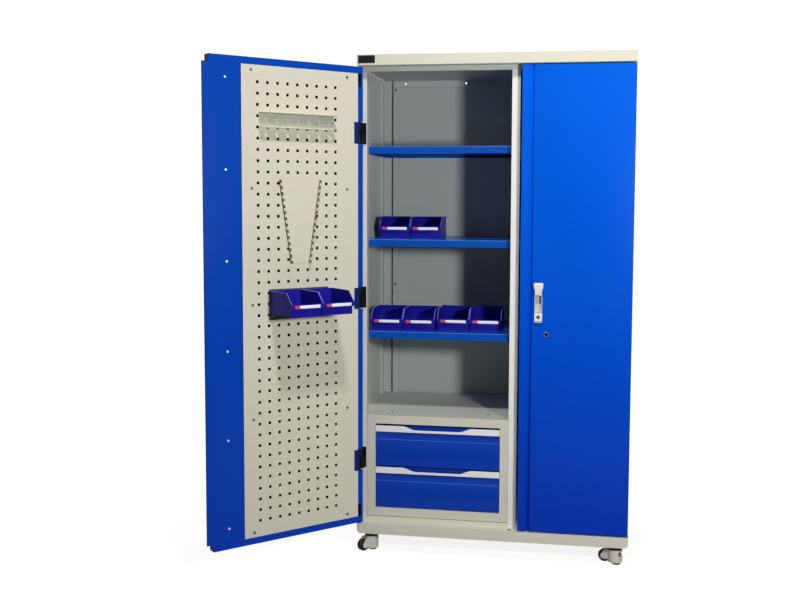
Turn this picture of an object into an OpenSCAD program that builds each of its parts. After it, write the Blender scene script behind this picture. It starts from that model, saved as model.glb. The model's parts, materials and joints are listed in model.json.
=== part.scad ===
// Two-door tool cabinet on levelling castors, with a perforated door panel,
// adjustable shelves and a pair of drawers.
// Millimetres, +X to the right, +Y to the back, +Z up.
// The origin is the centre of the base's underside, where the castors bolt on.

/* [Cabinet] */
// Overall width
width = 1000; // [800:5:1300]
// Overall depth
depth = 550; // [440:5:700]
// Height from the floor to the base's underside
castor_h = 78; // [74:1:90]
// Height of the base's skirt
base_h = 39; // [30:1:60]
// Height of the frame between base and cap
frame_h = 1695; // [1500:5:2000]
// Height of the cap
cap_h = 38; // [25:1:60]
// Radius of the base skirt's lower corners
base_corner_r = 16; // [6:1:25]
// Radius of the cap's corners
cap_corner_r = 5; // [3:1:12]
// Thickness of the cabinet's sheet metal
sheet = 1.2; // [0.9:0.1:2]
// Width of the front stiles and rear posts
stile_w = 30; // [24:1:40]
// Depth of the front stiles' and the centre post's returns
stile_d = 30; // [20:1:40]
// Depth of the box-shaped rear posts
rear_post_d = 45; // [35:1:60]
// Height of the header under the cap
header_h = 19; // [12:1:40]
// Height of the rail that stands on the base
rail_h = 18; // [10:1:30]
// Width of each stiffening channel under the base
channel_w = 90; // [80:1:120]
// Lowest screw of the back panel over the base
back_screw_low = 56; // [30:1:200]
// Highest screw of the back panel under the cap
back_screw_high = 35; // [28:1:200]

/* [Doors] */
// Door face behind the front edge of cap and base
door_setback = 1.5; // [0.5:0.5:6]
// Thickness of a door
door_t = 34; // [30:1:45]
// Gap between a closed door and the frame
door_clear = 4.5; // [4:0.5:8]
// Gap between a door and the cabinet's side
side_gap = 2; // [1:0.5:3]
// Gap under the doors
bottom_gap = 5; // [3:1:10]
// Gap over the doors
top_gap = 6; // [3:1:10]
// Middle of the gap between the two doors, from the left side
split_x = 598.5; // [450:0.5:640]
// Gap between the two doors' faces
meet_gap = 4.5; // [3:0.5:8]
// How far the left door's lap reaches behind the right door
lap = 23; // [12:1:26]
// Angle at which the left door stands open
door_open = 136; // [90:1:140]
// Width of the plain panel along the left door's free edge, without its lap
edge_panel_w = 115; // [90:1:140]
// Blue border over and under the inner panels
border_h = 25; // [18:1:40]
// Blue border at the hinges
border_w = 22; // [21:1:30]
// Width of the face strip left of the right door's groove
strip_w = 24; // [23:1:40]
// Width of the groove
groove_w = 19; // [14:1:24]
// Depth of the groove
groove_d = 12; // [6:1:14]

/* [Perforated panel] */
// Thickness of the inner panels
panel_t = 1.5; // [1:0.1:2]
// Distance between holes
hole_pitch = 38; // [30:1:45]
// Side of a square hole
hole_side = 10; // [6:0.5:12]
// Holes in a row
hole_cols = 9; // [4:1:10]
// Rows of holes
hole_rows = 41; // [10:1:44]
// First column of holes from the hinge side of the panel
hole_margin = 93.5; // [40:0.5:110]
// Distance between the panel's screws
screw_pitch = 400; // [250:5:450]

/* [Hinges] */
// Pin axis from the cabinet's side
hinge_inset = 6; // [5:0.5:8]
// Pin axis from the front edge of cap and base
hinge_back = 15; // [13:0.5:18]
// Height of a hinge
hinge_h = 78; // [60:1:100]
// Radius of a hinge's knuckle
knuckle_r = 4.5; // [4:0.5:5]
// Radius of a hinge's pin
pin_r = 2; // [1.5:0.5:3]
// Lower end of each hinge over the base's underside
hinge_zs = [243, 848, 1451]; // [1:1:1600]

/* [Shelves] */
// Upper shelf's top face
shelf_z = 1446; // [1300:5:1500]
// Height of a shelf's edge
shelf_edge = 27; // [20:1:40]
// Thickness of a shelf's sheet
shelf_t = 1.5; // [1:0.1:2.5]
// Gap between shelf fronts and the stiles
shelf_set = 4; // [2:1:30]
// Distance between slots in the standards
slot_pitch = 69; // [50:1:80]
// Slots from one shelf to the next
slots_per_shelf = 5; // [4:1:5]
// Width of a slotted standard
standard_w = 25; // [20:1:30]
// Depth of a slotted standard
standard_d = 10; // [8:0.5:14]
// Distance from the rear posts to the rear standards
standard_rear = 53; // [10:1:90]

/* [Drawers] */
// Height of the drawer unit
unit_h = 385; // [300:5:450]
// Width of the frame round the drawers
unit_frame = 32; // [20:1:40]
// Height of a drawer's face with its grip
drawer_h = 153; // [110:1:180]
// Gap between one drawer and the next
drawer_gap = 5; // [3:1:8]
// Height of the metal grip along a drawer's top
grip_h = 23; // [16:1:30]
// Height of the grip in its finger scoop
scoop_h = 9; // [5:1:12]
// Width of the scoop at its bottom
scoop_w = 160; // [100:2:260]
// Width of the ramp at each end of the scoop
scoop_ramp = 51; // [20:1:60]
// Height of the slope under the grip
slope_h = 28; // [15:1:40]
// Depth of the slope under the grip
slope_d = 13; // [8:1:16]
// Room for a runner at each side of a drawer
runner_w = 13; // [12:0.5:16]
// Height of a runner
runner_h = 45; // [30:1:50]
// Length of a runner
runner_l = 430; // [300:5:430]
// Screws on the drawer unit's top from its sides
unit_screw_in = 81; // [40:1:200]
// Screws on the drawer unit's top behind its face
unit_screw_back = 77; // [40:1:300]

/* [Racks and bins] */
// Width of a storage bin
bin_w = 122; // [90:1:130]
// Depth of a storage bin
bin_d = 160; // [120:5:180]
// Height of a storage bin
bin_h = 80; // [60:1:88]
// Wall of a storage bin
bin_wall = 2; // [1.5:0.1:3]
// Height of a bin's front with its label lip
bin_front_h = 43; // [36:1:50]
// Left bins behind the lower shelf's front edge
bins_back = 22; // [5:1:120]
// Right bins behind the lower shelf's front edge
right_bins_back = 57; // [5:1:120]
// Bins in front of the middle shelf's back edge
middle_bins_rear = 95; // [5:1:120]
// Width of the bins' rail plate
bin_rail_w = 234; // [180:1:260]
// Height of the bins' rail plate
bin_rail_h = 107; // [60:1:140]
// Length of the slotted tool rack
rack_l = 292; // [200:2:300]
// Depth of the tool rack
rack_d = 33; // [24:1:40]
// Height of the tool rack
rack_h = 50; // [30:1:60]
// Slots in the tool rack
rack_slots = 7; // [3:1:7]
// Distance between the rack's slots
rack_pitch = 41; // [20:1:41]
// Height of the wrench rack
wrench_h = 291; // [200:1:300]
// Width of the wrench rack at its top
wrench_top_w = 159; // [120:1:180]
// Width of the wrench rack at its bottom
wrench_bottom_w = 72; // [50:1:100]
// Depth of the wrench rack's notched sides
wrench_d = 22; // [12:1:24]
// Notches in each side of the wrench rack
wrench_notches = 13; // [6:1:13]

/* [Handle and locks] */
// Handle's centre line from the right door's free edge
handle_in = 66.5; // [60:0.5:80]
// Handle's lower end
handle_z = 812; // [700:1:900]
// Width of the handle's housing
handle_w = 28; // [26:1:34]
// Height of the handle
handle_h = 145; // [140:1:170]
// Angle through which the lever is pulled
lever_turn = 25; // [10:1:25]
// Radius of the key cores
core_r = 6.5; // [5:0.5:7]
// Cam lock's centre from the handle's centre line
cam_dx = 29; // [25:1:60]
// Cam lock's centre under the handle
cam_drop = 43; // [30:1:80]
// Radius of the lock rods
rod_r = 4; // [3:0.5:5]
// Travel of a lock rod
rod_travel = 14; // [12:1:20]

/* [Castors] */
// Castor's swivel axis from the cabinet's side
castor_in_x = 44; // [38:1:60]
// Castor's swivel axis from the cabinet's front and back
castor_in_y = 62; // [50:1:80]
// Side of the castor's top plate
castor_plate = 60; // [58:1:70]
// Radius of a wheel
wheel_r = 22.5; // [20:0.5:26]
// Width of a wheel
wheel_w = 22; // [16:1:24]
// Wheel axle behind the swivel axis
trail = 40; // [38:1:44]
// Height of the wheels over the floor while the pads stand on it
wheel_lift = 3; // [0.5:0.5:4]
// Radius of a levelling pad
pad_r = 15; // [10:1:16]
// Downward travel of a levelling pad
pad_travel = 10; // [5:1:10]

/* [Hidden] */
// Radial clearance of a running fit
fit = 0.05;
// Gap between faces that slide past each other
slip = 0.3;
frame_y = door_setback + door_t + door_clear;
frame_top = base_h + frame_h;
roof_z = frame_top - sheet;
header_z = frame_top - header_h;
rear_y = depth - rear_post_d;
back_rim_y = rear_y + 9;
back_y = back_rim_y + 11;
back_gap = 6;
rim_w = 25;
post_x0 = split_x - 6.5 - stile_w;
post_x1 = post_x0 + stile_w;
part_x = post_x0 + stile_w / 2;
in_y = door_setback + door_t;
panel_y = in_y + panel_t;
door_z0 = base_h + bottom_gap;
door_z1 = frame_top - top_gap;
left_edge_x = split_x - meet_gap / 2;
right_edge_x = split_x + meet_gap / 2;
panel_x0 = side_gap + border_w;
panel_x1 = left_edge_x - edge_panel_w;
panel_z0 = door_z0 + border_h;
panel_z1 = door_z1 - border_h;
panel_lip = 28;
hinge_notch_clear = 2;
liner_x1 = right_edge_x + strip_w + groove_w - 14;
shelf_y0 = frame_y + stile_d + shelf_set;
shelf_y1 = rear_y - slip;
shelf_side = standard_d + 1.3;
standard_front_y = shelf_y0 + 16;
standard_rear_y = rear_y - standard_rear - standard_w;
unit_z0 = base_h + rail_h + 1;
unit_z1 = unit_z0 + unit_h;
unit_x0 = stile_w + 1;
unit_x1 = post_x0 - 1;
unit_y0 = frame_y + 2;
unit_y1 = rear_y + 5;
unit_t = 1.5;
open_x0 = unit_x0 + unit_frame;
open_x1 = unit_x1 - unit_frame + 2;
drawer_side = 1;
drawer_z0 = unit_z0 + 35;
drawer_step = drawer_h + drawer_gap;
open_z0 = drawer_z0 - 2;
open_z1 = drawer_z0 + drawer_step + drawer_h + 7;
face_y = unit_y0 + 1;
tub_y0 = face_y + slope_d + unit_t + 0.1;
handle_x = right_edge_x + handle_in;
key_z = handle_z + 20;
rod_y = 20;
cam_x = handle_x + cam_dx;
cam_z = handle_z - cam_drop;
keeper_r = rod_r + 1;
lever_axis_y = -8;
lever_axis_z = handle_z + handle_h - 9;
castor_angles = [231, 158, 250, 300];
cup_r = 25;
cup_z = -22;
axle_z = wheel_r + wheel_lift - castor_h;
housing_r = 26;
foot_x = -5;
dial_r = trail - wheel_r - foot_x - 4.5;
dial_h = 11;
dial_z = castor_h + cup_z - dial_h - 9;
screw_h = castor_h + cup_z - 6;
hook_y = panel_y;
bin_rail_row = 21;
bin_rail_t = 1.5;
bin_ledge = 4;
bin_start = stile_w + 2;
$fn = 48;

// Working frame: x from the left side, y from the front edge, z from the underside.
module cabinet() {
    translate([-width / 2, -depth / 2, 0])
        children();
}

// The left door's pieces are drawn shut and swung out to where the door stands.
module on_left_door() {
    cabinet()
        translate([hinge_inset, hinge_back, 0])
            rotate([0, 0, -door_open])
                translate([-hinge_inset, -hinge_back, 0])
                    children();
}

// Mirror image about the cabinet's middle.
module other_side() {
    translate([width, 0, 0])
        mirror([1, 0, 0])
            children();
}

// Box between two opposite corners.
module block(a, b) {
    translate(a)
        cube(b - a);
}

// Round bar along Y, from y0 to y1.
module bar_y(x, z, r, y0, y1) {
    translate([x, y0, z])
        rotate([-90, 0, 0])
            cylinder(r = r, h = y1 - y0);
}

// Front outline of base or cap with its corners rounded, drawn along the depth.
module slab(x0, x1, y0, y1, z0, z1, r_low, r_high) {
    translate([0, y1, 0])
        rotate([90, 0, 0])
            linear_extrude(y1 - y0)
                union() {
                    for (x = [x0 + r_low, x1 - r_low])
                        translate([x, z0 + r_low])
                            circle(r_low);
                    for (x = [x0 + r_high, x1 - r_high])
                        translate([x, z1 - r_high])
                            circle(r_high);
                    translate([x0 + r_low, z0])
                        square([x1 - x0 - 2 * r_low, z1 - z0 - r_high]);
                    translate([x0 + r_high, z0 + r_low])
                        square([x1 - x0 - 2 * r_high, z1 - z0 - r_low]);
                    translate([x0, z0 + r_low])
                        square([x1 - x0, z1 - z0 - r_low - r_high]);
                }
}

// ---- Carcass ----

// Channel across the tray. Its plate starts plate_in from front and back, its webs
// stand on the tray's lips at web_z.
module stiffening_channel(x, plate_in, web_z) {
    half = channel_w / 2;
    web = 2;
    plate = 3;
    block([x - half, plate_in, 0], [x + half, depth - plate_in, plate]);
    for (side = [x - half, x + half - web])
        block([side, base_corner_r, web_z], [side + web, depth - base_corner_r, base_h - sheet]);
}

module base_tray() {
    lip = base_corner_r + 12;
    ledge_hole_x = split_x - 28.5;
    ledge_hole_y = 19.4;
    bolt = castor_plate / 2 - 5.5;
    color([0.80, 0.79, 0.72])
        cabinet()
            difference() {
                union() {
                    difference() {
                        slab(0, width, 0, depth, 0, base_h, base_corner_r, 0.5);
                        slab(sheet, width - sheet, sheet, depth - sheet, sheet,
                            base_h - sheet, base_corner_r - sheet, 0.2);
                        block([lip, lip, -1], [width - lip, depth - lip, sheet + 1]);
                    }
                    for (x = [castor_in_x + 8, width - castor_in_x - 8])
                        stiffening_channel(x, base_corner_r, 0);
                    stiffening_channel(width / 2, lip + 1, sheet - 0.1);
                    block([stile_w, frame_y, base_h - sheet], [post_x0, frame_y + sheet, base_h + rail_h]);
                    block([post_x1, frame_y, base_h - sheet],
                        [width - stile_w, frame_y + sheet, base_h + rail_h]);
                }
                translate([ledge_hole_x, ledge_hole_y, 0])
                    cylinder(r = 4, h = base_h + 1);
                translate([handle_x, rod_y, base_h - 2 * sheet])
                    cylinder(r = keeper_r, h = 4 * sheet);
                for (cx = [castor_in_x, width - castor_in_x], cy = [castor_in_y, depth - castor_in_y])
                    for (dx = [-bolt, bolt], dy = [-bolt, bolt])
                        translate([cx + dx, cy + dy, -1])
                            cylinder(r = 3.3, h = 5);
            }
}

module top_cap() {
    z1 = frame_top + cap_h;
    lip = 14;
    color([0.90, 0.89, 0.81])
        cabinet()
            difference() {
                slab(0, width, 0, depth, frame_top, z1, cap_corner_r, cap_corner_r - 1);
                slab(sheet, width - sheet, sheet, depth - sheet, frame_top + sheet, z1 - sheet,
                    cap_corner_r - sheet, cap_corner_r - 1 - sheet);
                block([lip, lip, frame_top - 1], [width - lip, depth - lip, frame_top + sheet + 1]);
            }
}

// Roof sheet with the header folded down from it in the plane of the frame.
module roof_panel() {
    edge = 1.5;
    color([0.78, 0.77, 0.71])
        cabinet()
            difference() {
                union() {
                    block([edge, edge, roof_z], [width - edge, depth - edge, frame_top]);
                    block([edge, frame_y, header_z], [width - edge, frame_y + sheet, frame_top]);
                }
                translate([handle_x, rod_y, roof_z - 1])
                    cylinder(r = keeper_r, h = sheet + 2);
            }
}

// Side wall in one sheet with its front stile and its box-shaped rear post.
module side_sheet() {
    block([0, frame_y, base_h], [sheet, depth, roof_z]);
    block([0, frame_y, base_h], [stile_w, frame_y + sheet, header_z]);
    block([stile_w - sheet, frame_y, base_h], [stile_w, frame_y + stile_d, header_z]);
    block([0, depth - sheet, base_h], [stile_w, depth, roof_z]);
    block([stile_w - sheet, rear_y, base_h], [stile_w, depth, roof_z]);
    block([0, rear_y, base_h], [stile_w, rear_y + sheet, roof_z]);
}

module left_side_panel() {
    color([0.82, 0.81, 0.75])
        cabinet()
            side_sheet();
}

module right_side_panel() {
    color([0.82, 0.81, 0.75])
        cabinet()
            other_side()
                side_sheet();
}

// Folded back panel: a raised rim, a sunk field and flanges that close the side gaps.
module back_panel() {
    x0 = stile_w + back_gap;
    x1 = width - x0;
    hole_z = roof_z - 11;
    color([0.74, 0.74, 0.70])
        cabinet()
            difference() {
                union() {
                    block([x0, back_rim_y, base_h], [x1, back_y + sheet, roof_z]);
                    for (x = [x0, x1 - sheet])
                        block([x, back_rim_y, base_h], [x + sheet, depth - 1, roof_z]);
                    block([stile_w, depth - 1 - sheet, base_h], [x0 + sheet, depth - 1, roof_z]);
                    block([x1 - sheet, depth - 1 - sheet, base_h], [width - stile_w, depth - 1, roof_z]);
                }
                block([x0 + rim_w, back_rim_y - 1, base_h + rim_w],
                    [x1 - rim_w, back_y, roof_z - rim_w]);
                for (x = [x0 + sheet, x1 - rim_w + sheet])
                    block([x, back_rim_y + sheet, base_h - 1],
                        [x + rim_w - 2 * sheet, back_y + 2 * sheet, roof_z + 1]);
                for (z = [base_h - 1, roof_z - rim_w + sheet])
                    block([x0 + sheet, back_rim_y + sheet, z],
                        [x1 - sheet, back_y + 2 * sheet, z + rim_w - sheet + 1]);
                for (x = [88, 338, width - 338, width - 88])
                    bar_y(x, hole_z, 4, back_rim_y - 1, back_rim_y + sheet + 1);
            }
}

module centre_post() {
    color([0.84, 0.83, 0.77])
        cabinet() {
            block([post_x0, frame_y, base_h], [post_x1, frame_y + sheet, header_z]);
            block([post_x0, frame_y, base_h], [post_x0 + sheet, frame_y + stile_d, header_z]);
            block([post_x1 - sheet, frame_y, base_h], [post_x1, frame_y + stile_d, header_z]);
        }
}

module partition_panel() {
    color([0.74, 0.74, 0.70])
        cabinet()
            block([part_x - sheet / 2, frame_y + sheet, base_h],
                [part_x + sheet / 2, back_rim_y, roof_z]);
}

// ---- Shelving ----

function shelf_level(i) = shelf_z - i * slots_per_shelf * slot_pitch;
function slot_z(n) = shelf_z - shelf_edge - 18 - n * slot_pitch;

// Slotted channel on a wall that lies in the plane x = 0 and faces +X.
module standard(y, z0, z1) {
    t = 1.5;
    last = floor((shelf_z - shelf_edge - 18 - z0 - 8) / slot_pitch);
    difference() {
        block([0, y, z0], [standard_d, y + standard_w, z1]);
        block([-1, y + t, z0 - 1], [standard_d - t, y + standard_w - t, z1 + 1]);
        for (n = [-3 : last])
            block([standard_d - 2 * t, y + standard_w / 2 - 2, slot_z(n)],
                [standard_d + 1, y + standard_w / 2 + 2, slot_z(n) + 14]);
    }
}

module standards_at(x, flip, z0) {
    translate([x, 0, 0])
        mirror([flip, 0, 0])
            for (y = [standard_front_y, standard_rear_y])
                standard(y, z0, header_z);
}

module shelf_standards() {
    color([0.70, 0.70, 0.66])
        cabinet() {
            standards_at(sheet, 0, unit_z1 + 2);
            standards_at(part_x - sheet / 2, 1, unit_z1 + 2);
            standards_at(part_x + sheet / 2, 0, base_h + 20);
            standards_at(width - sheet, 1, base_h + 20);
        }
}

// Clip hooked into a slot, with its tongue under the shelf's edge.
module clip(y, z) {
    mid = y + standard_w / 2;
    block([standard_d - 4, mid - 1.5, z - 16], [standard_d, mid + 1.5, z - 6]);
    block([standard_d, mid - 8, z - 22], [standard_d + 1, mid + 8, z]);
    block([standard_d, mid - 8, z - 2], [standard_d + 14, mid + 8, z]);
}

module clips_at(x, flip) {
    translate([x, 0, 0])
        mirror([flip, 0, 0])
            for (i = [0 : 2], y = [standard_front_y, standard_rear_y])
                clip(y, shelf_level(i) - shelf_edge);
}

module shelf_clips() {
    color([0.66, 0.67, 0.69])
        cabinet() {
            clips_at(sheet, 0);
            clips_at(part_x - sheet / 2, 1);
            clips_at(part_x + sheet / 2, 0);
            clips_at(width - sheet, 1);
        }
}

// Shelf folded down all round, with the folds turned in along front and back.
module shelf(x0, x1, z) {
    turn = 14;
    difference() {
        block([x0, shelf_y0, z - shelf_edge], [x1, shelf_y1, z]);
        block([x0 + shelf_t, shelf_y0 + shelf_t, z - shelf_edge + shelf_t],
            [x1 - shelf_t, shelf_y1 - shelf_t, z - shelf_t]);
        block([x0 + shelf_t, shelf_y0 + turn, z - shelf_edge - 1],
            [x1 - shelf_t, shelf_y1 - turn, z - shelf_edge + 2 * shelf_t]);
    }
}

module left_shelf(i) {
    color([0.04, 0.25, 0.72])
        cabinet()
            shelf(sheet + shelf_side, part_x - sheet / 2 - shelf_side, shelf_level(i));
}

module upper_shelf() {
    left_shelf(0);
}

module middle_shelf() {
    left_shelf(1);
}

module lower_shelf() {
    left_shelf(2);
}

module right_shelves() {
    color([0.04, 0.25, 0.72])
        cabinet()
            for (i = [0 : 2])
                shelf(part_x + sheet / 2 + shelf_side, width - sheet - shelf_side, shelf_level(i));
}

// ---- Drawer unit ----

module drawer_housing() {
    turn = 12;
    wing_y = frame_y + stile_d + 1;
    color([0.80, 0.79, 0.73])
        cabinet()
            difference() {
                union() {
                    block([unit_x0, unit_y0, unit_z0], [unit_x1, unit_y1, unit_z1]);
                    block([sheet, wing_y, unit_z1 - unit_t],
                        [part_x - sheet / 2, shelf_y1, unit_z1]);
                }
                block([unit_x0 + unit_t, unit_y0 + unit_t, unit_z0 + unit_t],
                    [open_x0 - unit_t, unit_y1 + 1, unit_z1 - unit_t]);
                block([open_x1 + unit_t, unit_y0 + unit_t, unit_z0 + unit_t],
                    [unit_x1 - unit_t, unit_y1 + 1, unit_z1 - unit_t]);
                block([open_x0, unit_y0 - 1, open_z0], [open_x1, unit_y1 - unit_t, open_z1]);
                block([open_x0, unit_y0 + turn, unit_z0 + unit_t],
                    [open_x1, unit_y1 - unit_t, unit_z1 - unit_t]);
                block([open_x0, unit_y0 + unit_t, unit_z0 + unit_t],
                    [open_x1, unit_y0 + turn + 1, open_z0 - unit_t]);
                block([open_x0, unit_y0 + unit_t, open_z1 + unit_t],
                    [open_x1, unit_y0 + turn + 1, unit_z1 - unit_t]);
                for (x = [unit_x0 - 0.8, unit_x1])
                    block([x, wing_y - 1, unit_z1 - 0.8], [x + 0.8, depth, unit_z1 + 1]);
            }
}

// Fixed runner of a drawer, on the wall at x = 0 and open towards +X.
module outer_runner(z) {
    t = 1.2;
    half = runner_h / 2;
    reach = runner_w - 1;
    y1 = tub_y0 + runner_l;
    block([0, tub_y0, z - half], [t, y1, z + half]);
    for (edge = [z - half, z + half - t])
        block([0, tub_y0, edge], [reach, y1, edge + t]);
}

module drawer_runners() {
    color([0.72, 0.73, 0.75])
        cabinet()
            for (i = [0, 1]) {
                z = drawer_z0 + i * drawer_step + 60;
                translate([open_x0, 0, 0])
                    outer_runner(z);
                translate([open_x1, 0, 0])
                    mirror([1, 0, 0])
                        outer_runner(z);
            }
}

// Moving runner on the side of the tub, nested inside the fixed one.
module inner_runner(z) {
    t = 1.2;
    half = runner_h / 2 - t - slip;
    y1 = tub_y0 + runner_l;
    block([runner_w - t, tub_y0, z - half], [runner_w, y1, z + half]);
    for (edge = [z - half, z + half - t])
        block([t + 1, tub_y0, edge], [runner_w, y1, edge + t]);
}

module drawer_tub(i) {
    z0 = drawer_z0 + i * drawer_step;
    x0 = open_x0 + runner_w;
    x1 = open_x1 - runner_w;
    y1 = tub_y0 + runner_l;
    tub_h = drawer_h - 18;
    color([0.05, 0.24, 0.66])
        cabinet() {
            difference() {
                block([x0, tub_y0, z0 + 4], [x1, y1, z0 + 4 + tub_h]);
                block([x0 + sheet, tub_y0 + sheet, z0 + 4 + sheet],
                    [x1 - sheet, y1 - sheet, z0 + tub_h + 5]);
            }
            translate([open_x0, 0, 0])
                inner_runner(z0 + 60);
            translate([open_x1, 0, 0])
                mirror([1, 0, 0])
                    inner_runner(z0 + 60);
        }
}

// Face sheet that slopes back under the grip and rises behind it.
module drawer_front(i) {
    z0 = drawer_z0 + i * drawer_step;
    x0 = open_x0 + drawer_side;
    x1 = open_x1 - drawer_side;
    grip_z = drawer_h - grip_h;
    bend_z = grip_z - slope_h;
    back = face_y + slope_d;
    t = unit_t;
    color([0.05, 0.25, 0.70])
        cabinet()
            translate([x0, 0, z0])
                rotate([90, 0, 90])
                    linear_extrude(x1 - x0)
                        polygon([
                            [face_y, 0], [back + t, 0], [back + t, 16], [back, 16],
                            [back, t], [face_y + t, t],
                            [face_y + t, bend_z], [back + t, grip_z], [back + t, drawer_h - 1],
                            [back, drawer_h - 1], [back, grip_z], [face_y, bend_z]
                        ]);
}

// Metal grip: a front lip with a scoop, on a web that meets the face sheet.
module drawer_handle(i) {
    z0 = drawer_z0 + i * drawer_step + drawer_h - grip_h;
    x0 = open_x0 + drawer_side;
    x1 = open_x1 - drawer_side;
    mid = (x0 + x1) / 2;
    top = grip_h;
    steps = 8;
    ramp = [
        for (k = [0 : steps])
            [scoop_ramp * k / steps, scoop_h + (top - scoop_h) * (1 - cos(180 * k / steps)) / 2]
    ];
    right = [for (p = ramp) [mid + scoop_w / 2 + p[0], p[1]]];
    left = [for (k = [steps : -1 : 0]) [mid - scoop_w / 2 - ramp[k][0], ramp[k][1]]];
    t = 2;
    color([0.80, 0.80, 0.78])
        cabinet() {
            translate([0, face_y, z0])
                rotate([90, 0, 0])
                    linear_extrude(t)
                        polygon(concat(
                            [[x0, top], [x0, 0], [x1, 0], [x1, top]],
                            [for (k = [steps : -1 : 0]) right[k]],
                            [for (k = [steps : -1 : 0]) left[k]]
                        ));
            block([x0, face_y - 0.5, z0], [x1, face_y + slope_d, z0 + t]);
        }
}

module upper_drawer_tub() {
    drawer_tub(1);
}

module upper_drawer_front() {
    drawer_front(1);
}

module upper_drawer_handle() {
    drawer_handle(1);
}

module lower_drawer_tub() {
    drawer_tub(0);
}

module lower_drawer_front() {
    drawer_front(0);
}

module lower_drawer_handle() {
    drawer_handle(0);
}

// ---- Small carcass pieces ----

module badge_plate() {
    color([0.03, 0.03, 0.03])
        cabinet()
            block([6, -1.2, frame_top + 7], [68, 0, frame_top + cap_h - 3]);
}

// Pan-head screw whose flat side lies at y, with its head towards -Y or +Y.
module screw_y(x, y, z, r, h, back) {
    y0 = back ? y : y - h;
    difference() {
        bar_y(x, z, r, y0, y0 + h);
        slot_y = back ? y + h - 0.6 : y - h - 1;
        block([x - r * 0.7, slot_y, z - 0.5], [x + r * 0.7, slot_y + 1.6, z + 0.5]);
    }
}

module carcass_fasteners() {
    bolt = castor_plate / 2 - 5.5;
    low = base_h + back_screw_low;
    high = frame_top - back_screw_high;
    color([0.62, 0.62, 0.60])
        cabinet() {
            for (x = [stile_w + back_gap + 11, width - stile_w - back_gap - 11])
                for (z = [low, (low + high) / 2, high])
                    screw_y(x, back_rim_y, z, 4, 2.4, false);
            for (x = [unit_x0 + unit_screw_in, unit_x1 - unit_screw_in])
                translate([x, unit_y0 + unit_screw_back, unit_z1])
                    cylinder(r = 3.5, h = 1.8);
            for (cx = [castor_in_x, width - castor_in_x], cy = [castor_in_y, depth - castor_in_y])
                for (dx = [-bolt, bolt], dy = [-bolt, bolt])
                    translate([cx + dx, cy + dy, 0]) {
                        translate([0, 0, -8])
                            cylinder(r = 5, h = 4, $fn = 6);
                        translate([0, 0, -5])
                            cylinder(r = 3, h = 13);
                        translate([0, 0, 3])
                            cylinder(r = 5.5, h = 5, $fn = 6);
                    }
        }
}

// ---- Hinges ----

// Fixed half: a plate on the stile, a body and knuckle at its lower half, and the pin.
module hinge_fixed(z) {
    half = hinge_h / 2 - 0.2;
    plate_y = frame_y - 1.4;
    block([3, plate_y, z], [28, frame_y, z + hinge_h]);
    block([4.5, hinge_back + 5, z], [20, plate_y, z + half]);
    block([3.5, hinge_back, z], [hinge_inset + 2.5, hinge_back + 6, z + half]);
    translate([hinge_inset, hinge_back, z])
        cylinder(r = knuckle_r, h = half);
    translate([hinge_inset, hinge_back, z + 1])
        cylinder(r = pin_r, h = hinge_h - 2);
}

module frame_hinge_halves() {
    color([0.05, 0.05, 0.06])
        cabinet()
            for (z = hinge_zs) {
                hinge_fixed(z);
                other_side()
                    hinge_fixed(z);
            }
}

// Moving half: a leaf on the inner panel and an arm to the upper knuckle.
module hinge_moving(z) {
    half = hinge_h / 2 - 0.2;
    z1 = z + hinge_h - half;
    leaf_x = panel_x0 - 2.5;
    difference() {
        union() {
            block([leaf_x, panel_y, z], [panel_x0 + 16, panel_y + 1.4, z + hinge_h]);
            block([leaf_x, in_y - 1.5, z1], [panel_x0, panel_y + 1, z + hinge_h]);
            block([3.5, in_y - 1.5, z1], [leaf_x + 1, panel_y - 0.1, z + hinge_h]);
            block([3.5, hinge_back, z1], [hinge_inset + 2.5, in_y, z + hinge_h]);
            translate([hinge_inset, hinge_back, z1])
                cylinder(r = knuckle_r, h = half);
        }
        translate([hinge_inset, hinge_back, z])
            cylinder(r = pin_r + fit, h = hinge_h + 1);
    }
}

module left_hinge_leaves() {
    color([0.06, 0.06, 0.10])
        on_left_door()
            for (z = hinge_zs)
                hinge_moving(z);
}

module right_hinge_leaves() {
    color([0.06, 0.06, 0.10])
        cabinet()
            other_side()
                for (z = hinge_zs)
                    hinge_moving(z);
}

// Room for the hinges in the edge of a door whose hinge side lies at x = side_gap.
module hinge_notches() {
    for (z = hinge_zs)
        block([side_gap - 1, hinge_back - 8.5, z - hinge_notch_clear],
            [panel_x0 + 0.5, panel_y + 1, z + hinge_h + hinge_notch_clear]);
}

// ---- Left door ----

// Dark slots in the border at the hinges, near the door's ends.
module border_slots() {
    for (z = [panel_z0, panel_z1 - 47])
        block([panel_x0 - 14, in_y - 2, z], [panel_x0 - 1, in_y + 1, z + 47]);
}

module left_door_skin() {
    x0 = side_gap;
    x1 = left_edge_x;
    y0 = door_setback;
    lip = border_w + panel_lip;
    color([0.03, 0.24, 0.74])
        on_left_door()
            difference() {
                block([x0, y0, door_z0], [x1, in_y, door_z1]);
                block([x0 + sheet, y0 + sheet, door_z0 + sheet],
                    [x1 - sheet, in_y - sheet, door_z1 - sheet]);
                block([x0 + lip, in_y - 2 * sheet, panel_z0 + panel_lip - 8],
                    [x1 + 1, in_y + 1, panel_z1 - panel_lip + 8]);
                block([panel_x1 + 0.2, in_y - sheet - 0.1, panel_z0],
                    [x1 + 1, in_y + 1, panel_z1]);
                hinge_notches();
                border_slots();
            }
}

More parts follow.
